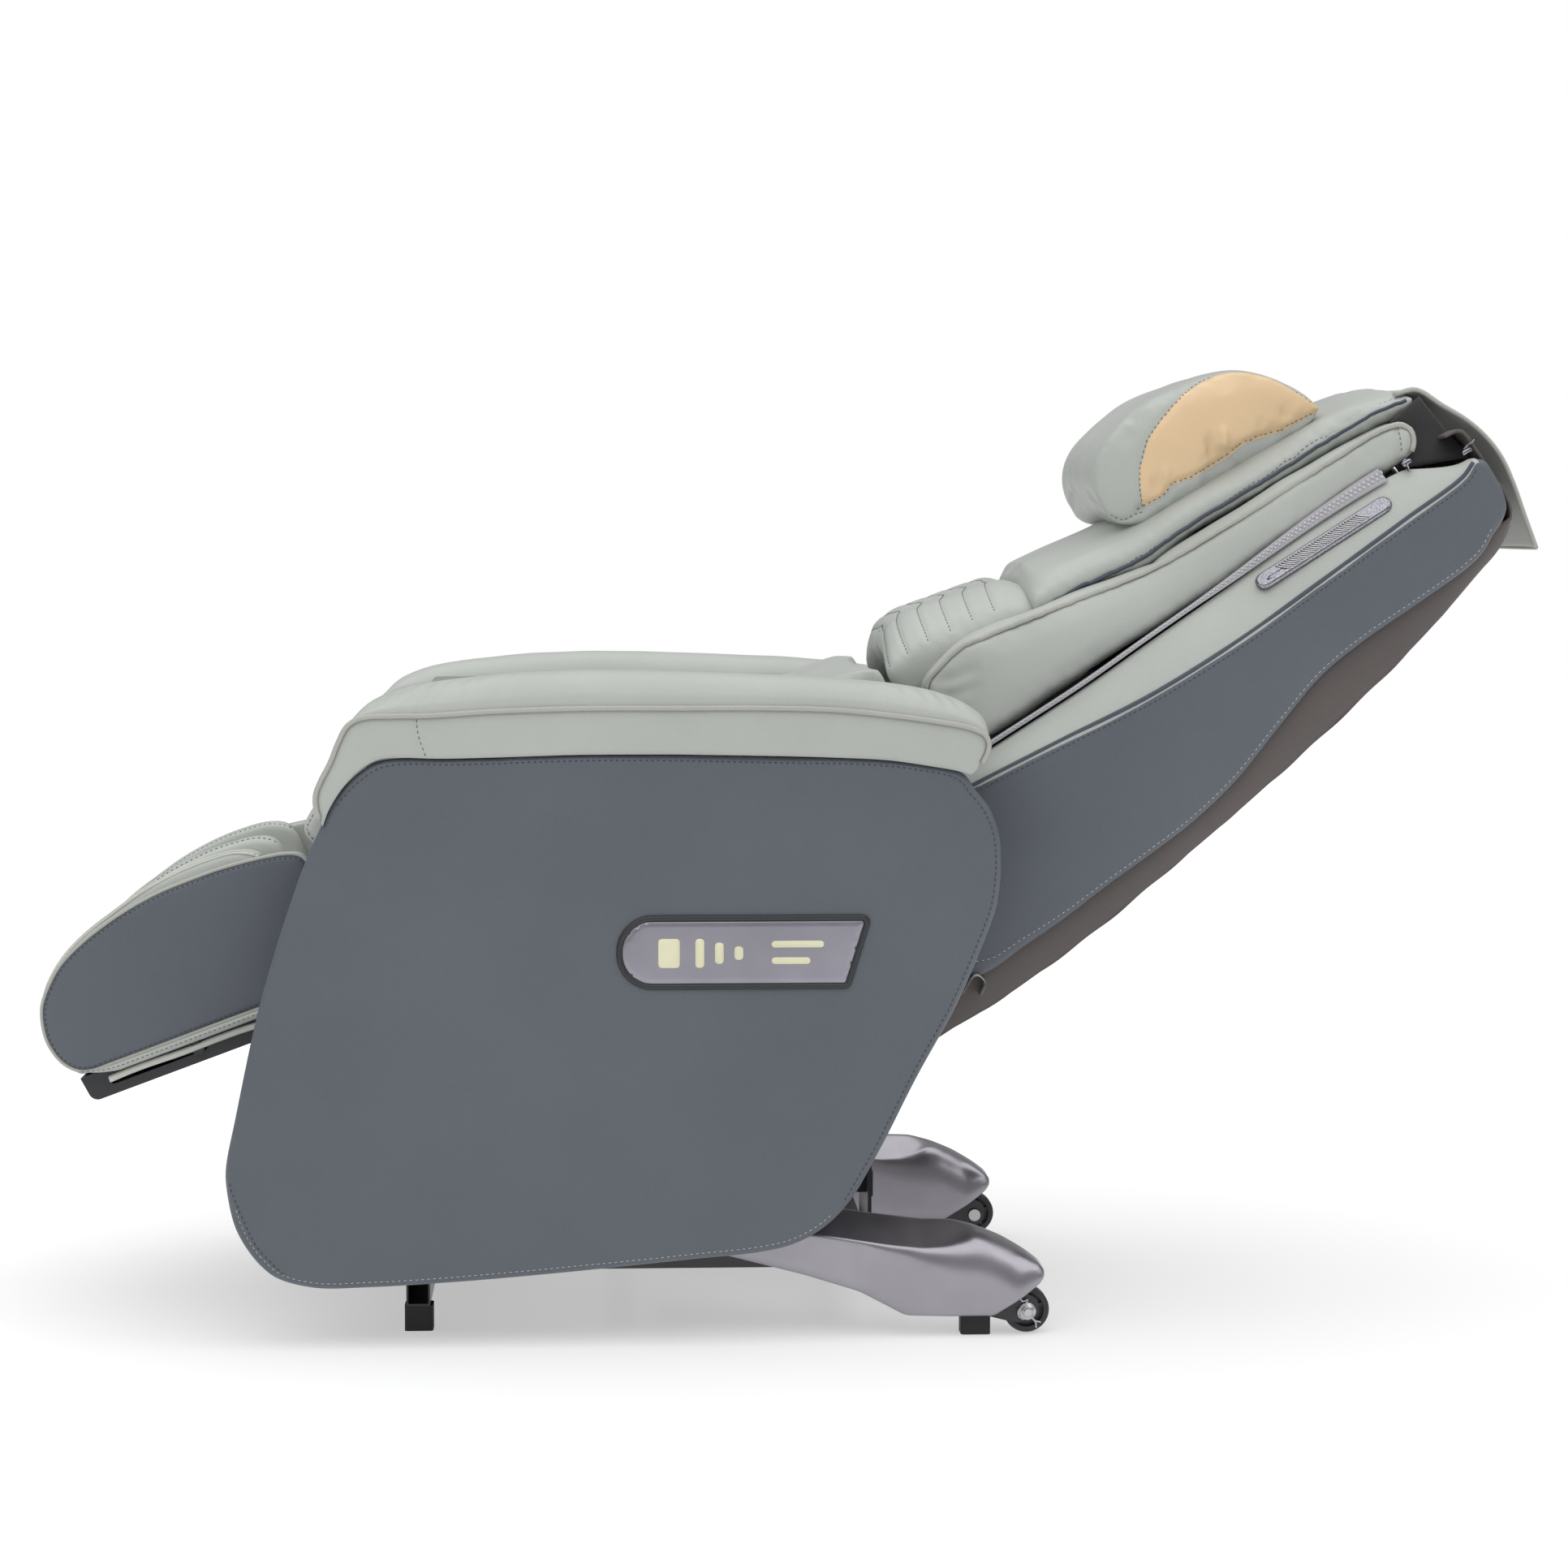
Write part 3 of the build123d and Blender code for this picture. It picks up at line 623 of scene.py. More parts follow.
class Look:
    """A Principled material being wired."""

    def __init__(self, name, color, **settings):
        self.material = bpy.data.materials.new(name)
        self.material.use_nodes = True
        self.tree = self.material.node_tree
        self.shader = self.tree.nodes["Principled BSDF"]
        self.color = color
        self.shader.inputs["Base Color"].default_value = color
        for socket, value in settings.items():
            self.shader.inputs[socket.replace("_", " ")].default_value = value
        self.place = self.tree.nodes.new("ShaderNodeTexCoord").outputs["Object"]

    def node(self, kind, **settings):
        made = self.tree.nodes.new(kind)
        for key, value in settings.items():
            if key in made.inputs:
                made.inputs[key].default_value = value
            else:
                setattr(made, key, value)
        return made

    def noise(self, scale, detail=4.0, place=None):
        made = self.node("ShaderNodeTexNoise", Scale=scale, Detail=detail, Roughness=0.55)
        self.tree.links.new(place or self.place, made.inputs["Vector"])
        return made.outputs["Fac"]

    def cells(self, scale):
        made = self.node("ShaderNodeTexVoronoi", Scale=scale)
        self.tree.links.new(self.place, made.inputs["Vector"])
        return made.outputs["Distance"]

    def ramp(self, value, stops):
        made = self.node("ShaderNodeValToRGB")
        band = made.color_ramp
        band.elements[0].position, band.elements[0].color = stops[0]
        band.elements[1].position, band.elements[1].color = stops[-1]
        for position, color in stops[1:-1]:
            band.elements.new(position).color = color
        self.tree.links.new(value, made.inputs["Fac"])
        return made.outputs["Color"]

    def mix(self, factor, one, two, blend="MIX"):
        made = self.node("ShaderNodeMix", data_type="RGBA", blend_type=blend)
        for socket, value in (("Factor", factor), ("A", one), ("B", two)):
            kinds = [s for s in made.inputs if s.name == socket and s.enabled]
            if isinstance(value, bpy.types.NodeSocket):
                self.tree.links.new(value, kinds[0])
            else:
                kinds[0].default_value = value
        return next(s for s in made.outputs if s.enabled)

    def scale(self, value, low, high):
        made = self.node("ShaderNodeMapRange")
        made.inputs["To Min"].default_value = low
        made.inputs["To Max"].default_value = high
        self.tree.links.new(value, made.inputs["Value"])
        return made.outputs["Result"]

    def bump(self, height, depth, strength=1.0, under=None):
        made = self.node("ShaderNodeBump", Strength=strength, Distance=depth)
        self.tree.links.new(height, made.inputs["Height"])
        if under is not None:
            self.tree.links.new(under, made.inputs["Normal"])
        return made.outputs["Normal"]

    def wire(self, socket, value):
        self.tree.links.new(value, self.shader.inputs[socket])


def leather(name, color, rough=0.42, grain=900.0, depth=0.00022):
    """Pebbled leatherette with slight clouding."""
    look = Look(name, color, Specular_IOR_Level=0.42, Sheen_Weight=0.06, Sheen_Roughness=0.4)
    pebble = look.cells(grain)
    fine = look.noise(grain * 2.1, 3.0)
    cloud = look.noise(5.0, 3.0)
    tone = look.ramp(cloud, [(0.3, shade(color, 0.94)), (0.7, shade(color, 1.05))])
    pores = look.ramp(pebble, [(0.05, (0.86, 0.86, 0.86, 1)), (0.5, (1, 1, 1, 1))])
    look.wire("Base Color", look.mix(0.5, tone, pores, "MULTIPLY"))
    look.wire("Roughness", look.scale(fine, rough - 0.07, rough + 0.1))
    big = look.bump(look.noise(70.0, 2.0), 0.0006, 0.35)
    small = look.bump(pebble, depth, 0.7, big)
    look.wire("Normal", look.bump(fine, depth * 0.4, 0.5, small))
    return look.material


def plastic(name, color, rough=0.4, grain=2500.0, depth=0.00005, **settings):
    """Moulded or painted surface with a fine texture."""
    look = Look(name, color, **settings)
    speck = look.noise(grain, 2.0)
    cloud = look.noise(12.0, 3.0)
    look.wire("Base Color", look.ramp(cloud, [(0.3, shade(color, 0.92)), (0.7, shade(color, 1.06))]))
    look.wire("Roughness", look.scale(look.noise(40.0, 4.0), rough - 0.06, rough + 0.08))
    look.wire("Normal", look.bump(speck, depth, 0.6))
    return look.material


def brushed(name, color, rough=0.3, contrast=0.9, **settings):
    """Metal with fine lines across its length; a low contrast turns them into dark streaks of painted
    reflection.
    """
    look = Look(name, color, **settings)
    turn = look.node("ShaderNodeMapping")
    turn.inputs["Scale"].default_value = (1, 40, 40)
    look.tree.links.new(look.place, turn.inputs["Vector"])
    lines = look.noise(40.0, 6.0, place=turn.outputs["Vector"])
    look.wire("Base Color", look.ramp(lines, [(0.36, shade(color, contrast)), (0.62, shade(color, 1.05))]))
    look.wire("Roughness", look.scale(lines, rough - 0.08, rough + 0.12))
    look.wire("Normal", look.bump(lines, 0.00003, 0.5))
    return look.material


def woven(name, color, count=900.0, depth=0.0002):
    """Fabric of two crossing sets of threads."""
    look = Look(name, color, Sheen_Weight=0.2)
    waves = []
    for axis in ("Y", "Z"):
        wave = look.node("ShaderNodeTexWave", Scale=count / 6.283 * 2)
        wave.bands_direction = axis
        look.tree.links.new(look.place, wave.inputs["Vector"])
        waves.append(wave.outputs["Fac"])
    weave = look.mix(0.5, waves[0], waves[1], "MULTIPLY")
    look.wire("Base Color", look.ramp(weave, [(0.1, shade(color, 0.55)), (0.8, shade(color, 1.25))]))
    look.wire("Roughness", look.scale(look.noise(300.0), 0.72, 0.9))
    look.wire("Normal", look.bump(weave, depth, 0.8))
    return look.material


def thread(name, color):
    """Twisted sewing thread."""
    look = Look(name, color, Sheen_Weight=0.15)
    twist = look.noise(2500.0, 2.0)
    look.wire("Base Color", look.ramp(twist, [(0.3, shade(color, 0.75)), (0.7, shade(color, 1.1))]))
    look.wire("Roughness", look.scale(twist, 0.5, 0.75))
    look.wire("Normal", look.bump(twist, 0.0002, 0.6))
    return look.material


GREY = leather("GreyLeatherette", srgb(182, 186, 181))
DARK = leather("SlateLeatherette", srgb(92, 98, 106), rough=0.44)
PIPING_DARK = leather("SlateWelt", srgb(72, 78, 90), rough=0.4)
PIPING_GREY = leather("GreyWelt", srgb(176, 178, 170), rough=0.42)
TAN = leather("PearlTan", srgb(230, 200, 160), rough=0.26, grain=1500.0, depth=0.0001)
# The slate leatherette's own colour, darkened and browned as painted shade for the rear cover and its side
# strips.
SHADED_SLATE = leather("RearSlatePaintedShade", srgb(90, 84, 82), rough=0.5, grain=1100.0)
MESH = woven("BlackMesh", srgb(46, 45, 48))
STRIP = leather("PaleStrip", srgb(204, 206, 198), rough=0.5)
PALE_THREAD = thread("PaleThread", srgb(196, 198, 194))
SLATE_THREAD = thread("SlateThread", srgb(52, 60, 76))
GREY_THREAD = thread("GreyThread", srgb(98, 103, 102))
SILVER = plastic("SilverPlastic", srgb(158, 155, 163), rough=0.3, grain=4000.0, depth=0.000004, Metallic=0.85,
                 Coat_Weight=0.3, Coat_Roughness=0.12)
# Darker, less metallic plastic for the leg covers' recess: painted shade and painted dark reflection.
RECESS_SHADE = plastic("RecessPaintedShade", srgb(98, 94, 100), rough=0.34, grain=4000.0, depth=0.000004, Metallic=0.6)
BLACK = plastic("BlackPlastic", srgb(44, 45, 49), rough=0.42)
GREY_PLASTIC = plastic("GreyPlastic", srgb(178, 182, 178), rough=0.45)
RUBBER = plastic("BlackRubber", srgb(30, 30, 32), rough=0.62, grain=1500.0, depth=0.0001)
PAINT = plastic("BlackPaint", srgb(36, 37, 40), rough=0.36, Coat_Weight=0.2)
STEEL = brushed("BrightSteel", srgb(196, 196, 198), Metallic=1.0)
PLATE = plastic("PlateMetal", srgb(150, 148, 158), rough=0.3, grain=1500.0, depth=0.00002, Metallic=0.7)
# Contrast 0.2 darkens the lines to streaks: painted reflections on the chrome pulls and speaker.
CHROME = brushed("Chrome", srgb(176, 176, 184), rough=0.12, contrast=0.2, Metallic=1.0)
ZIP = plastic("ZipResin", srgb(206, 204, 210), rough=0.35)
TAPE = woven("ZipTape", srgb(190, 189, 194), count=1400.0, depth=0.00005)
WOOD = plastic("Plywood", srgb(196, 164, 116), rough=0.6)
KEYS = plastic("KeyPlastic", srgb(190, 192, 198), rough=0.25, Coat_Weight=0.4)
MOTIF = plastic("PaleInk", srgb(226, 224, 190), rough=0.45)

SLOT_LOOK = {
    "frame_steel": PAINT,
    "plywood": WOOD,
    "black_rubber": RUBBER,
    "silver_plastic": SILVER,
    "bright_steel": STEEL,
    "dark_leather": DARK,
    "grey_leather": GREY,
    "pillow_leather": GREY,
    "back_fabric": MESH,
    "black_plastic": BLACK,
    "grey_plastic": GREY_PLASTIC,
    "plate_metal": PLATE,
    "chrome": CHROME,
    "key_plastic": KEYS,
}
NODE_SLOT = {
    "arm_cores": "dark_leather",
    "calf_shell": "grey_leather",
    "wheel_axles": "bright_steel",
    "axle_clips": "bright_steel",
    "leg_covers": "silver_plastic",
    "calf_runners": "black_plastic",
    "key_panel": "grey_plastic",
    "rubber_feet": "black_rubber",
}
for node, part in frame["nodes"].items():
    looks = part.data.materials
    for number, look in enumerate(looks):
        stem = look.name.split(".")[0] if look else ""
        slot = NODE_SLOT.get(node) or (stem if stem in SLOT_LOOK else "frame_steel")
        looks[number] = SLOT_LOOK[slot]


# Side panels of the base
PANEL_X = (345.0, 325.0)    # shown face and back
side_points = [
    (-593, 190), (-583, 240), (-558, 353), (-532, 440), (-508, 507), (-492, 542), (-478, 568), (-458, 591),
    (-436, 605), (-407, 609), (-369, 608), (-320, 609), (-260, 611), (-159, 612), (-16, 609), (67, 607),
    (122, 601), (163, 592), (177, 574), (191, 556), (201, 528), (203, 503), (202, 478), (198, 453),
    (188, 424), (158, 354), (116, 277), (78, 202), (45, 146), (19, 121), (-11, 105), (-46, 97),
    (-118, 90), (-243, 78), (-355, 69), (-450, 64), (-503, 64), (-541, 74), (-557, 86), (-573, 106),
    (-585, 130), (-593, 171),
]
side_outline = curve(side_points, 5, closed=True)
corner_seam = curve([(-596, 171), (-583, 140), (-567, 106), (-538, 74)], 3)
side_left = panel("Side_Panel_Left", BASE, side_outline, PANEL_X[0] - 3, PANEL_X[1], DARK, radius=8,
                  crown=3.0, spread=50, lines=[corner_seam])
crease(side_left, BASE.line(PANEL_X[0] - 3, corner_seam), 2.2, 1.6)
crumple(side_left, 90, 1.2, lambda p, n: (n[:, 0] > 0.5).astype(float))
bottom_edge = inset(side_outline, 6)
low = bottom_edge[(bottom_edge[:, 1] < 150) & (bottom_edge[:, 0] < 30)]
low = low[np.argsort(low[:, 0])]
upper = curve([(-478, 562), (-457, 584), (-434, 600), (-407, 604.5), (-369, 603.5), (-320, 604.5),
               (-260, 606.5), (-159, 607.5), (-16, 604.5), (66, 602.5), (120, 596.5), (158, 587),
               (172, 571), (186, 553), (196, 527), (198, 503), (197, 478), (193, 454), (183, 426),
               (153, 356), (111, 279), (73, 204), (41, 149)], 4)
pale_rows = stitches("Side_Stitch_Pale", [BASE.line(345, low)], side_left, PALE_THREAD, length=3.0, gap=3.0,
                     radius=0.4)
dark_rows = stitches("Side_Stitch_Dark", [BASE.line(345, upper), BASE.line(345, corner_seam + [5, 3])],
                     side_left, SLATE_THREAD, radius=0.55)
stitch_left = join("Side_Stitches_Left", [pale_rows, dark_rows])
put(side_left, "base", "dark_leather", "side_panel_left", fill=0.7)
put(mirrored(side_left), "base", "dark_leather", "side_panel_right", fill=0.7)
put_both(stitch_left, "base", "dark_leather")

# Arm cores wrapped in leatherette
core_points = [p for p in inset(side_outline, 4) if p[1] > 153]
core_points = sorted(core_points, key=lambda p: math.atan2(p[1] - 350, p[0] + 200))
core_outline = resample(np.array(core_points), 6, closed=True)
core_left = panel("Arm_Core_Wrap_Left", BASE, core_outline, 254, 324, DARK, radius=8, crown=0.0, spread=60)
put_both(core_left, "base", "dark_leather", "arm_cores")

# Arm pads: outer band, crowned top and inner band, with a welt along both edges
arm_stations = np.array([
    # welt (y, z), lower edge (y, z), crest (y, z)
    (-491, 541, -491, 540, -489, 541), (-497, 556, -486, 554, -496, 557), (-498, 572, -479, 567, -497, 574),
    (-492, 588, -470, 580, -491, 591), (-483, 605, -459, 592, -481, 609), (-475, 625, -448, 601, -472, 631),
    (-465, 643, -437, 607, -461, 650), (-449, 651, -424, 610, -445, 665), (-420, 652.5, -405, 610, -418, 677),
    (-383, 653, -375, 609, -382, 685), (-320, 657, -318, 610, -320, 693), (-224, 660, -224, 612.5, -224, 698),
    (-126, 660, -126, 612.5, -126, 696), (-43, 660, -43, 611, -43, 693), (30, 658, 30, 609, 30, 689),
    (90, 652, 85, 606, 92, 683), (140, 645, 128, 600, 142, 673), (170, 639, 152, 596, 172, 660),
    (186, 631, 160, 594, 188, 645), (189, 618, 164, 593, 191, 622), (183, 604, 167, 592, 184, 606),
    (174, 593, 170, 591, 174, 593),
], float)
ARM_X = (345.0, 254.5)
stations = curve(arm_stations, 6.5)
welt, seat_edge, crest = stations[:, 0:2], stations[:, 2:4], stations[:, 4:6]
across = np.linspace(0, 1, 34)
profile = (1 - np.abs(2 * across - 1) ** 2.3) ** 0.6
down = np.linspace(0, 1, 10)[1:]
rings = []
for w, e, c in zip(welt, seat_edge, crest):
    height = np.linalg.norm(c - w)
    flare = min(1.0, np.linalg.norm(w - e) / 30)
    ring = []
    for t, g in zip(across, profile):
        spot = w + (c - w) * g
        ring.append((ARM_X[1] + 0.8 + (ARM_X[0] - ARM_X[1] - 1.6) * t, *spot))
    for t in down:
        spot = w + (e - w) * t
        ring.append((ARM_X[0] - 0.8 + 2.2 * flare * math.sin(math.pi * t) - 1.0 * t, *spot))
    for t in np.linspace(0, 1, 8)[1:-1]:
        ring.append((ARM_X[0] - 2 + (ARM_X[1] - ARM_X[0] + 2) * t, *(e + [0, -0.6])))
    for t in down[::-1]:
        spot = w + (e - w) * t
        ring.append((ARM_X[1] + 0.8, *spot))
    rings.append(np.array(ring) * MM)
arm_left = loft("Arm_Pad_Left", rings, GREY)
band_seam = curve([(-398, 656), (-396, 634), (-388, 609)], 3)
crease(arm_left, BASE.line(ARM_X[0] + 1, band_seam), 1.8, 1.5)
for start, lean, size in ((-452, 14, 1.0), (-443, 18, 1.5), (-431, 22, 1.6), (-421, 26, 1.3), (-408, 34, 1.7),
                          (-395, 38, 1.8), (-383, 40, 1.6), (-370, 34, 1.2), (-352, 26, 0.8), (-318, 22, 0.6),
                          (112, -14, 0.9), (134, -16, 1.3), (152, -16, 1.5), (168, -12, 1.3)):
    fold = [(340, start, 658), (334, start + 0.25 * lean, 672), (322, start + 0.6 * lean, 684),
            (300, start + lean, 692)]
    fold = curve(np.array(fold) * MM, 3 * MM)
    fold = lay(fold, arm_left)
    crease(arm_left, fold, 4.0, 1.7 * size, fade=14)
crumple(arm_left, 60, 1.4, lambda p, n: np.clip(n[:, 2], 0.15, 1) * (np.abs(n[:, 0]) < 0.95))
welt_line = curve(welt[2:-3], 4)
crease(arm_left, BASE.line(ARM_X[0], welt_line), 3.2, 2.2)
crease(arm_left, BASE.line(ARM_X[1], welt_line), 3.2, 2.0)
welt_out = cord_mesh("Arm_Welt_Outer", BASE.line(ARM_X[0] + 0.2, welt_line), 2.6, PIPING_GREY)
welt_in = cord_mesh("Arm_Welt_Inner", BASE.line(ARM_X[1] + 0.6, welt_line), 2.4, PIPING_GREY)
welt_left = join("Arm_Welts_Left", [welt_out, welt_in])
seam_rows = stitches("Arm_Band_Stitch_Left", [BASE.line(346, band_seam + [2.5, 0])], arm_left, GREY_THREAD)
put_both(arm_left, "base", "grey_leather", "arm_pads", fill=0.7)
put_both(welt_left, "base", "grey_leather")
put_both(seam_rows, "base", "grey_leather")


# Soft pieces, before they are filled
SEAT_ARC = 250.0            # the seat stops at this radius from the recline hinge
SEAT_FLOOR = 478.5
SEAT_HALF, ROLL_HALF, PAD_HALF, LUMBAR_HALF, PILLOW_HALF = 250, 245, 186, 176, 152
seat_outline = filleted([(-503, SEAT_FLOOR, 6), (-517, 506, 12), (-548, 520, 22), (-470, 617, 75),
                         (-300, 604, 200), (-150, 594, 4), (-162, 540, 60), (-181, 500, 30),
                         (-181, SEAT_FLOOR, 2)], 7)
seat = soft_body("Seat_Cushion", BASE, seat_outline, -SEAT_HALF, SEAT_HALF, GREY, shrink=7, cap=13,
                 voxel=7.5, smooth=10)

bolster_outline = filleted([(184, 78, 5), (170, 172, 26), (238, 190, 50), (460, 146, 150), (735, 142, 60),
                            (786, 132, 24), (764, 88, 14)], 7)
bolster = soft_body("Back_Bolster_Left", BACK, bolster_outline, 140, 214, GREY, shrink=5, cap=12, voxel=6,
                    smooth=10, pressure=5)
pillow_outline = curve([(440, 212), (448, 252), (482, 282), (538, 293), (576, 291), (622, 281), (665, 264),
                        (698, 227), (719, 178), (693, 163), (653, 159), (600, 159), (545, 158), (498, 166),
                        (464, 176), (446, 192)], 7, closed=True)
pillow = soft_body("Head_Pillow", BACK, pillow_outline, -PILLOW_HALF, PILLOW_HALF, GREY, shrink=8, cap=10,
                   voxel=6, smooth=9, pressure=6)
back_pad_outline = filleted([(322, 188, 3), (326, 211, 9), (456, 191, 100), (740, 174, 60), (802, 160, 8),
                             (800, 146, 3), (456, 160, 200)], 6)
back_pad = soft_body("Back_Pad", BACK, back_pad_outline, -PAD_HALF, PAD_HALF, GREY, shrink=3, cap=7,
                     voxel=6, smooth=5, pressure=3)
lumbar_outline = filleted([(162, 176, 4), (162, 230, 14), (216, 232, 50), (322, 208, 40), (356, 188, 8),
                           (356, 174, 3)], 6)
lumbar = soft_body("Lumbar_Pad", BACK, lumbar_outline, -LUMBAR_HALF, LUMBAR_HALF, GREY, shrink=4, cap=8,
                   voxel=6, smooth=6)
roll_angles = np.radians(np.linspace(109.5, 70, 16))
roll_outline = [(244 * math.cos(t), 244 * math.sin(t)) for t in roll_angles]
roll_outline += [(163, 226), (163, 178)]
roll_outline += [(188 * math.cos(t), 188 * math.sin(t)) for t in roll_angles[::-1]]
roll_outline = resample(np.array(roll_outline), 6, closed=True)
roll = soft_body("Seat_Back_Roll", BACK, roll_outline, -ROLL_HALF, ROLL_HALF, GREY, shrink=7, cap=10,
                 voxel=7.5, smooth=18)
trough_outline = filleted([(70, -61, 3), (68, 8, 12), (324, 8, 20), (332, -61, 14)], 6)
trough = soft_body("Calf_Floor_Left", LEG, trough_outline, 27, 186, GREY, shrink=4, cap=9, voxel=6.5,
                   smooth=6)
inflate_all()


def keep_clear(piece, slope, x_range, rule=None):
    """Hold a soft piece inside its own space."""
    points = get_points(piece)
    x, a, b = slope.read(points)
    x = np.clip(x, *x_range)
    if rule:
        a, b = rule(a, b)
    set_points(piece, slope.place(x, a, b))


def seat_rule(a, b):
    """Keep the seat clear of the backrest's swing and on its pan."""
    y, z = BACK.origin[1] / MM - a, b - BACK.origin[2] / MM
    reach = np.hypot(y, z)
    near = reach < SEAT_ARC
    fix = np.where(near, SEAT_ARC / np.maximum(reach, 1), 1)
    return BACK.origin[1] / MM - y * fix, np.maximum(BACK.origin[2] / MM + z * fix, SEAT_FLOOR)


def roll_rule(a, b):
    """Keep the roll inside the seat's hollow rear end."""
    reach = np.hypot(a, b)
    free = np.clip((70 - np.degrees(np.arctan2(b, a))) / 12, 0, 1)
    fix = np.minimum(1, (245 + 12 * free) / reach)
    return a * fix, b * fix


# Seat: gusset seam round the sides, a pointed stitched seam on the front roll and channels
keep_clear(seat, BASE, (-251, 251), seat_rule)
side_seam = curve([(-505, 500), (-528, 524), (-528, 545), (-512, 572), (-490, 592), (-455, 598), (-300, 590),
                   (-165, 578)], 4)
rows = []
for x in (-246, 246):
    line = lay(BASE.line(x, side_seam), seat)
    crease(seat, line, 3.0, 2.4, fade=10)
    rows.append(line)
chevron = []
for x in np.linspace(-236, 236, 60):
    bend = 22 * (1 - abs(x) / 236)
    chevron.append(BASE.place(x, -512 + bend, 590 + bend))
chevron = lay(np.array(chevron), seat)
crease(seat, chevron, 3.5, 2.6, fade=12)
roll_seam = np.array([BASE.place(x, -560, 524) for x in np.linspace(-238, 238, 60)])
roll_seam = lay(roll_seam, seat)
crease(seat, roll_seam, 3.0, 2.0, fade=12)
for y in (-390, -300):
    line = lay(np.array([BASE.place(x, y, 640) for x in np.linspace(-215, 215, 50)]), seat)
    crease(seat, line, 5.0, 3.2, fade=20)
    rows.append(line)
for x in (-120, 120):
    line = lay(np.array([BASE.place(x, y, 640) for y in np.linspace(-470, -190, 40)]), seat)
    crease(seat, line, 5.0, 3.0, fade=20)
    rows.append(line)
crumple(seat, 50, 1.6)
keep_clear(seat, BASE, (-252, 252), seat_rule)
put(seat, "base", "grey_leather", "seat_cushion", fill=0.65)
seat_stitch = stitches("Seat_Stitches", [chevron + [0, -0.003, 0], chevron + [0, 0.003, 0.002],
                                         roll_seam] + rows, seat, GREY_THREAD)
put(seat_stitch, "base", "grey_leather")

# Roll between the seat and the back
keep_clear(roll, BACK, (-ROLL_HALF, ROLL_HALF), roll_rule)
crumple(roll, 60, 1.2)
keep_clear(roll, BACK, (-ROLL_HALF, ROLL_HALF), roll_rule)
for x in (-150, 0, 150):
    line = lay(np.array([BACK.place(x, a, 260) for a in np.linspace(-60, 100, 24)]), roll)
    crease(roll, line, 4.0, 2.4, fade=15)
put(roll, "backrest", "grey_leather", "back_roll", fill=0.65)

# Leg rest: side panels, welts, hem band and pads
calf_points = [(14, 50), (20, 62), (35, 69), (62, 74), (101, 78), (142, 78.5), (176, 77), (214, 71),
               (245, 63), (273, 53), (298, 40), (317, 23), (329, 8), (335.5, -10), (337.5, -33),
               (331, -56), (319, -70), (305, -75.5), (280, -76), (220, -76), (160, -76), (100, -76),
               (60, -76), (46, -72), (36, -30), (28, 10), (18, 36)]
calf_outline = curve(calf_points, 4, closed=True)
calf_panel = panel("Calf_Side_Panel_Left", LEG, inset(calf_outline, 1.6), 239, 214, DARK, radius=7, crown=3.0,
                   spread=35)
crumple(calf_panel, 80, 1.0, lambda p, n: (n[:, 0] > 0.5).astype(float))
rim_band = panel("Calf_Rim_Left", LEG, inset(calf_outline, 0.6), 233, 211.5, GREY, radius=4, crown=0,
                 spread=20)
calf_welt = cord_mesh("Calf_Welt_Left", LEG.line(236, curve(inset(calf_outline, 1.4), 4, closed=True)), 1.9,
                      PIPING_GREY, closed=True)
edge = inset(calf_outline, 4.5)
calf_rows = stitches("Calf_Stitches_Left", [LEG.line(240, edge)], calf_panel, SLATE_THREAD, length=3.0,
                     gap=2.6, radius=0.45, closed=True)

# Hem band below the panel, and the pale strip below it
hem_top = curve([(60, -75), (160, -75.5), (260, -75.5), (296, -75), (316, -71)], 5)
hem_rings = []
for a, b in hem_top:
    drop = 0.6 + 8 * min(1.0, (317 - a) / 40)
    hem_rings.append([LEG.place(x, a, b - d * drop) for x, d in
                      ((212, 0.0), (228, 0.0), (237, 0.05), (239, 0.3), (238, 0.8), (235, 1.0), (224, 1.0),
                       (212, 1.0))])
hem = loft("Calf_Hem_Left", hem_rings, GREY)
hem_row = [LEG.place(240, a, b - 4.5 * min(1.0, (317 - a) / 40)) for a, b in hem_top]
hem_stitch = stitches("Calf_Hem_Stitches_Left", [np.array(hem_row)], hem, GREY_THREAD, length=3.2, gap=2.2)
for piece, fill in ((calf_panel, 0.7), (rim_band, 0.7), (hem, 0.5)):
    put_both(piece, "calf_unit", "grey_leather", "calf_side_panels", fill=fill)
for piece in (calf_welt, calf_rows, hem_stitch):
    put_both(piece, "calf_unit", "grey_leather")

strip_rings = []
for a in np.linspace(74, 291, 46):
    sag = 1.2 * math.sin(a / 23.0) * math.sin(a / 60.0)
    strip_rings.append([LEG.place(x, a, b + sag) for x, b in
                        ((214, -86.5), (229, -86.8), (232, -88), (232.5, -91), (231, -93.5), (226.5, -94),
                         (226.5, -90), (214, -89))])
pale_strip = loft("Calf_Under_Strip_Left", strip_rings, STRIP)
put_both(pale_strip, "calf_unit", "grey_leather")

# Calf pads
keep_clear(trough, LEG, (26.5, 185.5))


def wall_pad(name, x_low, x_high):
    """Rounded upright pad with a level crown, between two places across the chair."""
    crest = curve([(58, 20), (59, 62), (66, 77), (86, 86), (118, 89), (150, 88), (190, 82), (230, 71),
                   (262, 61), (290, 48), (312, 32), (328, 14), (336, -10), (334, -52)], 4)
    middle, half = (x_low + x_high) / 2, (x_high - x_low) / 2
    heart = np.array([200.0, -61.0])
    rings = []
    for a, b in crest:
        top, inner = np.array([a, b]), heart + (np.array([a, b]) - heart) * 0.35
        ring = []
        for t in np.linspace(-1, 1, 19):
            fall = 1 - (1 - abs(t) ** 3.5) ** 0.5
            ring.append((middle + half * t * (1 - 0.04 * fall), *(top + (inner - top) * 0.16 * fall)))
        for t in np.linspace(1, -1, 9):
            ring.append((middle + half * t * 0.97, *inner))
        rings.append(LEG.place(*np.array(ring).T))
    return loft(name, rings, GREY)


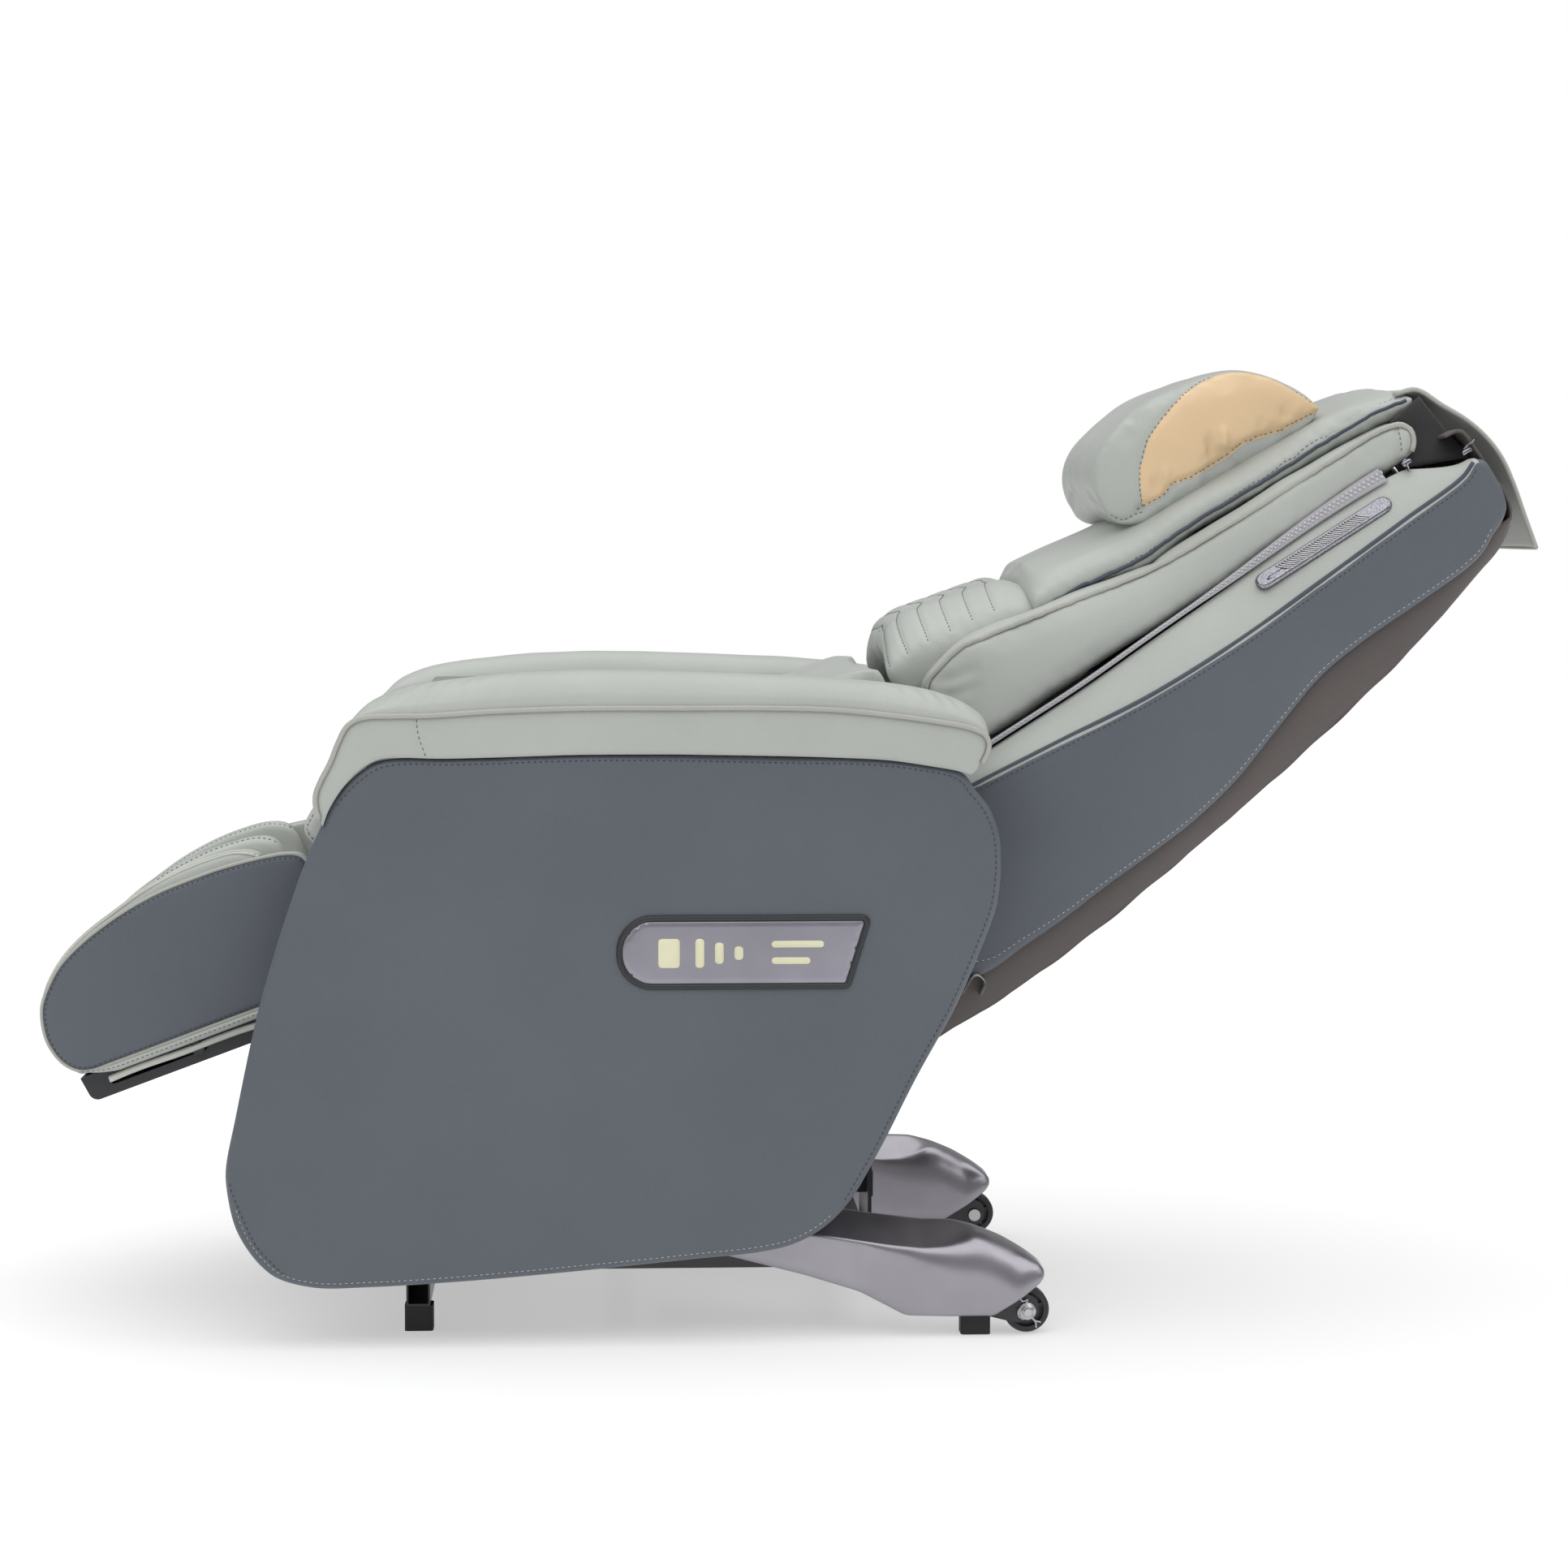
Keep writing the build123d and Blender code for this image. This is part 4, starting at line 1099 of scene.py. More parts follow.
wall = wall_pad("Calf_Wall_Left", 184, 213)
divider = wall_pad("Calf_Divider", -27, 27)
pad_crest = [(62, 72), (86, 88), (118, 91), (150, 90), (190, 84), (230, 73), (262, 63), (290, 50), (312, 34),
             (330, 14), (338, -10)]
wall_rows, divider_rows = [], []
for x, piece, rows in ((192, wall, wall_rows), (204, wall, wall_rows), (-14, divider, divider_rows),
                       (14, divider, divider_rows)):
    row = lay(LEG.line(x, curve(pad_crest, 5)), piece)
    crease(piece, row, 1.8, 1.6, fade=8)
    rows.append(row)
wall_cords = []
for x in (198, 209):
    wall_cords.append(cord_mesh("Cord%d" % x, lay(LEG.line(x, curve(pad_crest, 5)), wall, 0.3), 1.5, STRIP))
wall_cords = join("Calf_Wall_Cords_Left", wall_cords)
for a in (130, 200, 270):
    line = lay(np.array([LEG.place(x, a, 30) for x in np.linspace(40, 172, 26)]), trough)
    crease(trough, line, 4.0, 3.0, fade=12)
crumple(trough, 45, 1.4)
crumple(divider, 45, 1.0)
crumple(wall, 45, 0.8)
wall_stitch = stitches("Calf_Wall_Stitches_Left", wall_rows, wall, SLATE_THREAD)
divider_stitch = stitches("Calf_Divider_Stitches", divider_rows, divider, SLATE_THREAD)
for piece, nodes, fill in ((wall, ["calf_wall_pads"], 0.6), (trough, ["calf_floor_pads"], 0.6),
                           (wall_stitch, [], None), (wall_cords, [], None)):
    put_both(piece, "calf_unit", "grey_leather", *nodes, fill=fill)
put(divider, "calf_unit", "grey_leather", "calf_wall_pads", fill=0.6)
put(divider_stitch, "calf_unit", "grey_leather")

# Black lining from the hinge down behind the calf pads
lining_rows = [[LEG.place(x, a, b + 1.5 * math.sin(x / 27.0)) for x in np.linspace(-182, 182, 40)]
               for a, b in curve([(14, 12), (28, -8), (44, -34), (53, -58), (56, -74)], 6)]
lining = strip("Leg_Lining", lining_rows, MESH)
thicken(lining, 2)
apply_modifiers(lining)
put(lining, "legrest", "back_fabric")

# Backrest side panels with a dark welt
back_points = [(60, 62), (177, 52), (277, 42), (378, 31.5), (485, 30), (597, 36), (708, 43), (780, 48),
               (800, 57), (809, 50), (810, 30), (808, 10), (803, -4), (790, -15), (776, -21), (757, -31),
               (735, -36), (657, -40), (602, -42), (544, -49), (475, -71), (407, -94), (346, -106),
               (288, -111), (233, -114), (177, -119), (123, -121), (79, -123), (56, -116), (55, -60),
               (55, 0)]
back_outline = curve(back_points, 5, closed=True)
back_panel = panel("Back_Side_Panel_Left", BACK, back_outline, 244, 222.5, DARK, radius=8, crown=3.5,
                   spread=50)
crumple(back_panel, 90, 1.2, lambda p, n: (n[:, 0] > 0.5).astype(float))
welt_path = curve([(120, 57.5), (177, 52), (277, 42), (378, 31.5), (485, 30), (597, 36), (708, 43), (780, 48),
                   (797, 55)], 5)
back_welt = cord_mesh("Back_Welt_Left", BACK.line(241.5, welt_path + [0, 0.6]), 2.4, PIPING_DARK)
low_seam = curve([(776, -14), (757, -25), (735, -30), (657, -34), (602, -36), (544, -43), (475, -65),
                  (407, -88), (346, -100), (288, -105), (233, -108), (177, -112), (123, -112), (90, -112),
                  (70, -104)], 4)
top_seam = curve(welt_path + [0, -6.5], 4)
back_rows = join("Back_Stitches_Left", [stitches("Back_Low_Stitch", [BACK.line(244, low_seam)],
                                                 back_panel, PALE_THREAD, length=3.2, gap=3.0,
                                                 radius=0.45), stitches("Back_Top_Stitch",
                                                                        [BACK.line(246, top_seam)],
                                                                        back_panel, SLATE_THREAD,
                                                                        radius=0.4), ])

# Ledge between the side panel and the zip
ZIP_LINE = curve([(120, 69), (193, 72), (324, 73), (413, 77), (513, 81), (637, 88), (713, 88), (738, 85)], 5)
ledge_rings = []
for a in np.linspace(122, 802, 130):
    rim_b = float(np.interp(a, welt_path[:, 0], welt_path[:, 1])) - 1
    zip_b = float(np.interp(a, ZIP_LINE[:, 0], ZIP_LINE[:, 1]))
    tail = np.clip((a - 738) / 64, 0, 1)
    crest_x = 213 + 18 * tail
    crest_b = zip_b + (rim_b + 4 - zip_b) * tail
    ring = []
    for t in np.linspace(0, 1, 12):
        swell = 3.5 * math.sin(math.pi * t) * (1 - 0.6 * tail)
        lean_x, lean_b = crest_x + (243 - crest_x) * t, crest_b + (rim_b - crest_b) * t
        ring.append((lean_x + swell * 0.8, lean_b + swell * 0.6))
    ring += [(242, rim_b - 8), (212, rim_b - 8), (207, rim_b), (crest_x - 6, crest_b - 4), (crest_x - 4,
                                                                                            crest_b)]
    ledge_rings.append([BACK.place(x, a, b) for x, b in ring])
ledge = loft("Back_Ledge_Left", ledge_rings, GREY)
crumple(ledge, 70, 1.2, lambda p, n: np.clip(n[:, 0], 0, 1))

# Zip: tape, two rows of teeth and a pull
tape_rows, teeth_points, teeth_faces = [], [], []


def add_block(points, faces, centre, ahead, side, up, size):
    """Bevelled block for a tooth or link."""
    start = len(points)
    length, width, height = [s * MM / 2 for s in size]
    for level, taper in ((-1, 1.0), (0.4, 1.0), (1, 0.7)):
        for i, j in ((-1, -1), (1, -1), (1, 1), (-1, 1)):
            points.append(centre + ahead * i * length * taper + side * j * width * taper
                          + up * level * height)
    for ring in range(2):
        for j in range(4):
            k = (j + 1) % 4
            a = start + ring * 4
            faces.append((a + j, a + k, a + 4 + k, a + 4 + j))
    faces.append(tuple(start + j for j in (3, 2, 1, 0)))
    faces.append(tuple(start + 8 + j for j in (0, 1, 2, 3)))


zip_at = resample(ZIP_LINE, 2.7)
zip_at = zip_at[(zip_at[:, 0] > 190) & (zip_at[:, 0] < 716)]
tape_side = np.array([0.52, *(BACK.out[1:] * -0.854)])
tape_side /= np.linalg.norm(tape_side)
tape_up = np.cross(BACK.along, tape_side)
tape_up *= np.sign(tape_up[0])
for number, (a, b) in enumerate(zip_at):
    open_out = np.clip((a - 470) / 240, 0, 1)
    middle = BACK.place(214.5, a, b + 5.5)
    half = 2.8 + 6.4 * open_out
    tape_rows.append([middle + tape_side * w * half * MM + tape_up * (1.2 - abs(w) * 0.6) * MM
                      for w in (-1, -0.5, 0, 0.5, 1)])
    shift = 0.4 + 2.2 * open_out
    tooth = middle + tape_side * (shift if number % 2 else -shift) * MM + tape_up * 1.9 * MM
    add_block(teeth_points, teeth_faces, tooth, BACK.along, tape_side, tape_up,
              (1.9, 1.6 + 2 * open_out, 1.2 + open_out))
tape = strip("Zip_Tape_Left", tape_rows, TAPE)
thicken(tape, 0.8)
apply_modifiers(tape)
teeth = new_object("Zip_Teeth_Left", teeth_points, teeth_faces, ZIP)
zip_left = join("Zip_Left", [tape, teeth])


def zip_pull(name, centre, hang):
    """Slider body, loop and hanging tab."""
    points, faces = [], []
    add_block(points, faces, centre, BACK.along, np.array([1.0, 0, 0]), BACK.out, (11, 8, 5))
    slider = new_object(name + "_body", points, faces, CHROME)
    bevel = slider.modifiers.new("Bevel", "BEVEL")
    bevel.width = 0.8 * MM
    bevel.segments = 2
    apply_modifiers(slider)
    turn = np.linspace(0, 2 * math.pi, 18, endpoint=False)
    loops = [slider]
    for number, (size, drop) in enumerate(((4.0, 4), (5.0, 11))):
        middle = centre + BACK.out * 3 * MM + hang * drop * MM
        side = np.array([1.0, 0, 0]) if number else BACK.along
        ring = middle + (np.cos(turn)[:, None] * side + 1.5 * np.sin(turn)[:, None] * hang) * size * 0.7 * MM
        loops.append(cord_mesh(name + "_loop%d" % number, ring, 0.9, CHROME, closed=True, sides=6))
    return join(name, loops)


pull_one = zip_pull("Zip_Pull_Low_Left", BACK.place(214, 742, 91), np.array([0.5, 0.2, -0.75]))
pull_two = zip_pull("Zip_Pull_Top_Left", BACK.place(226, 800, 68), np.array([0.45, 0.5, 0.6]))

# Speaker grille: a long pill with a raised rim and slanted ribs
tilt = math.atan2(42, 32)
pill_up = np.array([math.sin(tilt), *(BACK.out[1:] * math.cos(tilt))])
pill_side = np.cross(BACK.along, pill_up)
pill_centre = BACK.place(229.3, 620, 67.3)


def pill(length, width):
    """Outline of a long shape with round ends."""
    half = (length - width) / 2
    turn = np.linspace(-math.pi / 2, math.pi / 2, 12)
    right = [(half + width / 2 * math.cos(t), width / 2 * math.sin(t)) for t in turn]
    left = [(-half - width / 2 * math.cos(t), -width / 2 * math.sin(t)) for t in turn]
    return resample(np.array(right + left), 3, closed=True)


def on_pill(points, height):
    """Places on the speaker, which leans with the ledge."""
    return (pill_centre + points[:, :1] * BACK.along * MM + points[:, 1:2] * pill_side * MM
            + height * pill_up * MM)


dome = []
for length, width, height in ((168, 20, -1.5), (168, 20, 1.5), (166, 18, 3.4), (162, 14.5, 4.6),
                              (158, 10, 4.2), (154, 6, 3.6), (149, 1.5, 3.4)):
    dome.append(on_pill(pill(length, width)[:112], height))
count = min(len(d) for d in dome)
dome = [d[:count] for d in dome]
speaker_bars = [loft("Speaker_Rim", dome, CHROME)]
for number, offset in enumerate(np.linspace(-50, 50, 30)):
    rib = np.array([(offset - 6, -5.6), (offset - 2, -2), (offset + 2, 2), (offset + 6, 5.6)])
    speaker_bars.append(cord_mesh("Rib%d" % number, on_pill(rib, 4.4), 0.9, STEEL, sides=6))
speaker = join("Speaker_Grille_Left", speaker_bars)

# Bolsters: welt along the top edge, end seam and folds
keep_clear(bolster, BACK, (139, 219))
welt_top = curve([(176, 165), (180, 173), (192, 179), (236, 185), (286, 182), (366, 167), (459, 149),
                  (562, 140), (670, 141), (726, 142), (758, 137), (772, 128), (777, 115), (770, 100),
                  (757, 92)], 5)
bolster_welt_line = lay(BACK.line(209, welt_top), bolster, 0.4)
bolster_welt_line = curve(bolster_welt_line, 5 * MM)
crease(bolster, bolster_welt_line, 4.0, 2.0)
bolster_welt = cord_mesh("Bolster_Welt_Left", bolster_welt_line, 2.9, PIPING_GREY)
end_seam = lay(BACK.line(214, curve([(757, 137), (750, 118), (742, 98)], 3)), bolster)
crease(bolster, end_seam, 2.2, 1.8)
for points, width, depth in (
    ([(190, 168), (214, 158), (248, 152)], 7, 3.0),
    ([(186, 156), (206, 142), (240, 136)], 6, 2.2),
    ([(700, 134), (690, 118), (684, 100)], 5, 2.2),
    ([(720, 136), (712, 122), (716, 104)], 5, 2.4),
    ([(738, 136), (728, 120), (730, 102)], 4, 1.8),
    ([(650, 134), (640, 120), (610, 108)], 6, 1.6),
    ([(660, 112), (630, 104), (600, 100)], 6, 1.8),
    ([(300, 92), (400, 96), (520, 100)], 9, 1.2),
):
    line = lay(BACK.line(216, curve(points, 4)), bolster)
    crease(bolster, line, width, depth, fade=16)
crumple(bolster, 55, 2.0)
bolster_seam = stitches("Bolster_Stitches_Left", [end_seam + BACK.along * 0.002], bolster, GREY_THREAD)

for piece, slot, nodes, fill in (
    (back_panel, "dark_leather", ["back_side_panels"], 0.7),
    (back_welt, "dark_leather", [], None),
    (back_rows, "dark_leather", [], None),
    (ledge, "grey_leather", ["back_ledges"], 0.7),
    (zip_left, "silver_plastic", [], None),
    (pull_one, "chrome", [], None),
    (pull_two, "chrome", [], None),
    (speaker, "chrome", ["speakers"], None),
    (bolster, "grey_leather", ["back_bolsters"], 0.6),
    (bolster_welt, "grey_leather", [], None),
    (bolster_seam, "grey_leather", [], None),
):
    put_both(piece, "backrest", slot, *nodes, fill=fill)

# Lumbar pad with slanting quilted rows
x, a, b = BACK.read(get_points(lumbar))
fall = np.clip((np.abs(x) - 84) / 92, 0, 1) ** 1.5
set_points(lumbar, BACK.place(np.clip(x, -178, 178), a - 12 * fall, b - 32 * fall))
quilt = []
for a in range(176, 330, 27):
    for side in (-1, 1):
        line = [BACK.place(side * x, a + 14 - 0.16 * x, 238 - 36 * max(0, (x - 84) / 92) ** 1.5)
                for x in np.linspace(2, 172, 30)]
        quilt.append(lay(np.array(line), lumbar))
for line in quilt:
    crease(lumbar, line, 3.0, 1.3, fade=4)
middle_row = lay(np.array([BACK.place(0, a, 250) for a in np.linspace(166, 324, 26)]), lumbar)
crease(lumbar, middle_row, 3.4, 2.2)
crumple(lumbar, 45, 1.0)
lumbar_stitch = stitches("Lumbar_Stitches", quilt + [middle_row], lumbar, GREY_THREAD)
put(lumbar, "backrest", "grey_leather", "lumbar_pad", fill=0.5)
put(lumbar_stitch, "backrest", "grey_leather")

# Back pad: hems hang over the bolsters, with a dark hem cord and a stitched edge
points = get_points(back_pad)
x, a, b = BACK.read(points)
droop = np.clip((np.abs(x) - 60) / 125, 0, 1) ** 1.6
wave = 2.0 * np.sin(a / 26.0) * np.clip((np.abs(x) - 130) / 50, 0, 1)
shift = 26 * droop * np.clip(1 - (a - 300) / 700, 0.55, 1)
b = b - shift + wave
set_points(back_pad, BACK.place(np.clip(x, -188, 188), a, b))
hem_line = []
for a in np.linspace(334, 786, 90):
    hem_line.append(BACK.place(190, a, 152))
hem_line = lay(np.array(hem_line), back_pad)
crease(back_pad, hem_line, 2.0, 0.8)
back_hem = cord_mesh("Back_Pad_Hem_Left", curve(hem_line, 6 * MM), 2.0, PIPING_DARK)
inner_hem = lay(hem_line + np.array([-0.008, 0, 0.004]), back_pad)
crease(back_pad, inner_hem, 2.0, 1.0)
rows = stitches("Back_Pad_Stitches_Left", [inner_hem], back_pad, GREY_THREAD)
crumple(back_pad, 70, 1.6)
put(back_pad, "backrest", "grey_leather", "back_pad", fill=0.4)
for piece in (back_hem, rows):
    put_both(piece, "backrest", "grey_leather")

# Head pillow: grey band over the middle, pearl tan ends, gathered seam and gusset
TAN_EDGE = [(489, 196), (504, 230), (534, 257), (562, 268), (591, 276), (630, 275), (657, 264),
            (681, 239), (700, 205), (711, 180), (694, 182), (661, 184), (620, 195), (593, 192),
            (553, 194), (528, 200), (514, 195)]
tan_outline = resample(np.array(TAN_EDGE, float), 3, closed=True)


def tan_level(points):
    """Above zero on the tan ends of the pillow."""
    x, a, b = BACK.read(points)
    spot = np.stack([a, b], 1)
    distance, _ = nearest(spot, tan_outline, closed=True)
    end = np.abs(x) - 92 - 0.9 * np.clip(b - 235, 0, None)
    return np.where(inside(spot, tan_outline), distance, -distance) + np.minimum(0, end)


seam_side = curve(TAN_EDGE[:10], 4)
gather_side = curve([(484, 197), (514, 195), (528, 200), (553, 195), (593, 193), (620, 195), (661, 185),
                     (694, 182), (709, 180)], 4)
PILLOW_END = 0.09          # nearest part of a pillow end to the middle, in metres


def from_side(piece, x, pairs):
    """Line drawn on the end of a backrest piece, seen square from the side."""
    tree = BVHTree.FromObject(piece, bpy.context.evaluated_depsgraph_get())
    away = np.sign(x)
    hits = [tree.ray_cast(Vector(p), Vector((-away, 0, 0)))[0] for p in BACK.line(x + 60 * away, pairs)]
    return np.array([tuple(hit) for hit in hits if hit is not None and hit[0] * away > PILLOW_END])


seam_lines = []
for x in (150, -150):
    edge = from_side(pillow, x, seam_side)
    gather = from_side(pillow, x, gather_side)
    crease(pillow, edge, 3.0, 2.2)
    crease(pillow, gather, 3.4, 3.4)
    front_seam = lay(BACK.line(x, curve([(442, 208), (462, 194), (489, 195)], 3)), pillow)
    gusset_seam = lay(BACK.line(x, curve([(598, 190), (601, 175), (597, 160)], 3)), pillow)
    crease(pillow, front_seam, 2.6, 1.8)
    crease(pillow, gusset_seam, 2.0, 1.6)
    seam_lines += [edge, gather, front_seam]
    for at, size, length in ((508, 3.2, 28), (524, -3.0, 26), (566, 2.0, 18), (580, 4.2, 36), (597, -3.4, 34),
                             (640, 2.4, 22), (668, 3.0, 26), (684, -2.2, 20)):
        low_b = float(np.interp(at, gather_side[:, 0], gather_side[:, 1]))
        pucker = BACK.line(x, curve([(at, low_b + 1), (at + 3, low_b + length * 0.5), (at + 12,
                                                                                       low_b + length)],
                                    3))
        crease(pillow, lay(pucker, pillow), 4.5, 1.5 * size, fade=12)
for start in (470, 476):
    for side in (-1, 1):
        pucker = [BACK.place(side * x, start - 10, 215 + 0.3 * (140 - x)) for x in np.linspace(60, 130, 12)]
        crease(pillow, lay(np.array(pucker), pillow), 6, 2.0, fade=16)
crumple(pillow, 55, 2.2)
split_by(pillow, tan_level, TAN)
pillow_stitch = stitches("Pillow_Stitches", seam_lines, pillow, GREY_THREAD, length=3.4, gap=2.6)
put(pillow, "backrest", "pillow_leather", "head_pillow", fill=0.7)
put(pillow_stitch, "backrest", "pillow_leather")


def sheet_mesh(name, slope, path, half_width, thickness, look, wave, columns, step=8):
    """Leather sheet that follows a side-view path, with a thickness and slight waves."""
    line = curve(path, step)
    rows = []
    for i, (a, b) in enumerate(line):
        row = []
        for x in np.linspace(-half_width, half_width, columns):
            lift = wave * math.sin(x / 38.0 + i * 0.35) * math.sin(i * 0.21 + 1)
            row.append(slope.place(x, a + 0.4 * lift, b + lift))
        rows.append(row)
    piece = strip(name, rows, look)
    thicken(piece, thickness, offset=0)
    bevel = piece.modifiers.new("Bevel", "BEVEL")
    bevel.width = thickness * 0.35 * MM
    bevel.segments = 2
    apply_modifiers(piece)
    length = np.linalg.norm(np.diff(line, axis=0), axis=1).sum()
    return piece, length * MM


# Flap over the head of the back, with a double-stitched edge
flap_path = [(778, 155), (800, 147), (815, 118), (830, 88), (838, 60), (840, 34), (836, 4), (829, -28),
             (821, -66)]
FLAP_HALF = 170
flap, flap_length = sheet_mesh("Top_Flap", BACK, flap_path, FLAP_HALF, 4.5, GREY, wave=0.8, columns=44,
                               step=6)
put(flap, "backrest", "grey_leather", "top_flap")
flap_line = curve(flap_path, 5)
edge_rows = []
for inner in (4, 10):
    for side in (-1, 1):
        edge_rows.append(BACK.place(side * (FLAP_HALF - inner), flap_line[:, 0] + 3, flap_line[:, 1] + 3))
    edge_rows.append(BACK.place(np.linspace(-160, 160, 80), 824, inner - 62))
flap_stitch = stitches("Flap_Stitches", edge_rows, flap, GREY_THREAD)
flap_edges = []
for side in (-1, 1):
    flap_edges.append(cord_mesh("Edge%d" % side, BACK.line(side * FLAP_HALF, flap_line), 2.6, PIPING_GREY))
flap_edges.append(cord_mesh("EdgeEnd", BACK.line(0, flap_line[-1:].repeat(2, 0))
                            + np.array([[-0.17, 0, 0], [0.17, 0, 0]]), 2.6, PIPING_GREY))
flap_rim = join("Flap_Rim", flap_edges)
put(flap_rim, "backrest", "grey_leather")
put(flap_stitch, "backrest", "grey_leather")

# Black mesh sides between the bolster ends and the head of the back
mesh_rows = []
for t in np.linspace(0, 1, 22):
    low_spot, high_spot = np.array([740 + 66 * t, 86 - 28 * t]), np.array([752 + 46 * t, 134 + 6 * t])
    mesh_rows.append([BACK.place(200 - 8 * math.sin(math.pi * s) - 22 * t * s,
                                 *(low_spot + (high_spot - low_spot) * s)) for s in np.linspace(0, 1, 12)])
gusset = strip("Head_Mesh_Left", mesh_rows, MESH)
thicken(gusset, 1.5)
apply_modifiers(gusset)
for one in (gusset, put_both(gusset, "backrest", "back_fabric")):
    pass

# Roller cover and the rear cover
cover_path = [(166, 126), (300, 122), (460, 121), (620, 122), (782, 126)]
roller_cover, roller_length = sheet_mesh("Roller_Cover", BACK, cover_path, 144, 5, MESH, wave=1.2, columns=24)
put(roller_cover, "backrest", "back_fabric", "roller_cover")
rear_path = [(-4, -154), (60, -157), (163, -152), (280, -139), (399, -123), (521, -102), (648, -76),
             (730, -52), (790, -30), (807, -10), (811, 20), (811, 60), (808, 90), (790, 93)]
# The rear cover's browned colour is painted shade.
rear, rear_length = sheet_mesh("Rear_Cover", BACK, rear_path, 220, 4, SHADED_SLATE, wave=1.6, columns=56, step=7)
put(rear, "backrest", "back_fabric", "back_cover")

# Side strips that close the rear cover against the side panels
rear_line = curve(rear_path[:11], 8)
side_rows = []
for a, b in rear_line:
    inner_b = float(np.interp(a, low_seam[::-1, 0], low_seam[::-1, 1]))
    top_b = max(b + 1, inner_b - 2)
    side_rows.append([BACK.place(220.5 + 3.0 * math.sin(math.pi * s) + 8 * s, a, b + (top_b - b) * s)
                      for s in np.linspace(0, 1, 8)])
# The side strips take the same browned colour, painted shade.
rear_side = strip("Rear_Side_Left", side_rows, SHADED_SLATE)
thicken(rear_side, 2)
apply_modifiers(rear_side)
put_both(rear_side, "backrest", "back_fabric", fill=0.4)

# Plate on each side panel: bezel, metal face and a plain motif of rounded bars
bezel_line = filleted([(-192, 372, 36), (46, 372, 7), (69, 447, 7), (-192, 447, 36)], 4)
bezel_rings = []
for shift, x in ((-1.0, 344.5), (-0.6, 347.0), (1.2, 348.3), (4.0, 348.0), (5.4, 346.0), (5.8, 344.5)):
    ring = inset(bezel_line, shift)
    bezel_rings.append(BASE.place(x, ring[:, 0], ring[:, 1]))
bezel = loft("Plate_Bezel_Left", bezel_rings, BLACK, closed_ends=False)
plate = panel("Plate_Face_Left", BASE, inset(bezel_line, 5.0), 347.3, 343.5, PLATE, radius=1.6, crown=0.4,
              spread=20)
marks = []
for number, (y0, width, tall) in enumerate(((-150, 22, 30), (-112, 9, 30), (-92, 9, 22), (-72, 9, 14),
                                            (-34, 54, 7), (-34, 40, 7))):
    z0 = 409 if number < 4 else (418 if number == 4 else 401)
    y1 = y0 + width
    bar = filleted([(y0, z0 - tall / 2, 3.4), (y1, z0 - tall / 2, 3.4), (y1, z0 + tall / 2, 3.4),
                    (y0, z0 + tall / 2, 3.4)], 2)
    marks.append(panel("Mark%d" % number, BASE, bar, 348.2, 347.0, MOTIF, radius=0.5, crown=0.0, grid=6,
                       back=0.2))
motif = join("Plate_Motif_Left", marks)
for piece, slot, nodes in ((bezel, "black_plastic", ["nameplate_bezels"]), (plate, "plate_metal",
                                                                            ["nameplates"]), (motif,
                                                                                              "plate_metal",
                                                                                              [])):
    put_both(piece, "base", slot, *nodes)

# Small folded strap behind each side panel
strap_line = curve([(172, 352), (186, 372), (196, 364), (192, 350)], 3)
strap_rings = []
for a, b in strap_line:
    strap_rings.append([BASE.place(x, a, b + d) for x, d in ((228, 0), (250, 0.6), (252, 1.4), (250, 2.2),
                                                             (228, 2.2))])
strap = loft("Side_Strap_Left", strap_rings, STRIP)
put_both(strap, "base", "grey_leather")

# Rear leg covers: straight outer side, sloping recess on top and a rounded nose
COVER_LOW = [(-90, 90), (0, 66), (60, 47), (88, 32), (108, 21), (150, 20), (200, 20), (214, 29),
             (232, 42), (249, 55), (255, 64)]
COVER_TOP = [(-90, 148), (0, 136), (70, 125), (125, 118), (160, 117), (186, 110), (212, 99), (236, 85),
             (250, 75), (255, 68)]
COVER_RIDGE = [(-90, 125), (25, 110), (90, 99), (125, 95), (150, 96), (166, 101), (180, 107), (194, 106),
               (212, 98), (236, 84), (250, 74), (255, 67)]
COVER_STEP = 0.562         # left cover to right cover, in metres
COVER_SIDES = (312, 250)


def cover_section(y):
    """Closed outline across the cover at one place along it."""
    low, top, ridge = [np.interp(y, *np.array(line).T) for line in (COVER_LOW, COVER_TOP, COVER_RIDGE)]
    soft = np.interp(y, [60, 110, 150, 175, 200, 225, 255], [3, 5, 12, 24, 34, 34, 6])
    deep = min(np.interp(y, [60, 110, 150, 180, 225, 255], [4, 12, 28, 42, 44, 8]), 0.9 * (ridge - low))
    pinch = 10 * np.clip((y - 225) / 30, 0, 1) ** 2
    outer, inner = COVER_SIDES[0] - pinch, COVER_SIDES[1] + pinch
    section = [(outer, z) for z in np.linspace(low, ridge - deep, 9)[:-1]]
    for t in np.linspace(0, math.pi / 2, 12):
        section.append((outer - soft * (1 - math.cos(t)), ridge - deep * (1 - math.sin(t))))
    lip = min(10.0, 0.5 * (top - low))
    section += [(x, ridge + (top - ridge) * ((outer - soft - x) / (outer - soft - inner - lip)))
                for x in np.linspace(outer - soft, inner + lip, 8)[1:-1]]
    for t in np.linspace(0, math.pi / 2, 7):
        section.append((inner + lip * (1 - math.sin(t)), top - lip * (1 - math.cos(t))))
    section += [(inner, z) for z in np.linspace(top - lip, low, 8)[1:]]
    section += [(x, low) for x in np.linspace(inner, outer, 6)[1:-1]]
    return section


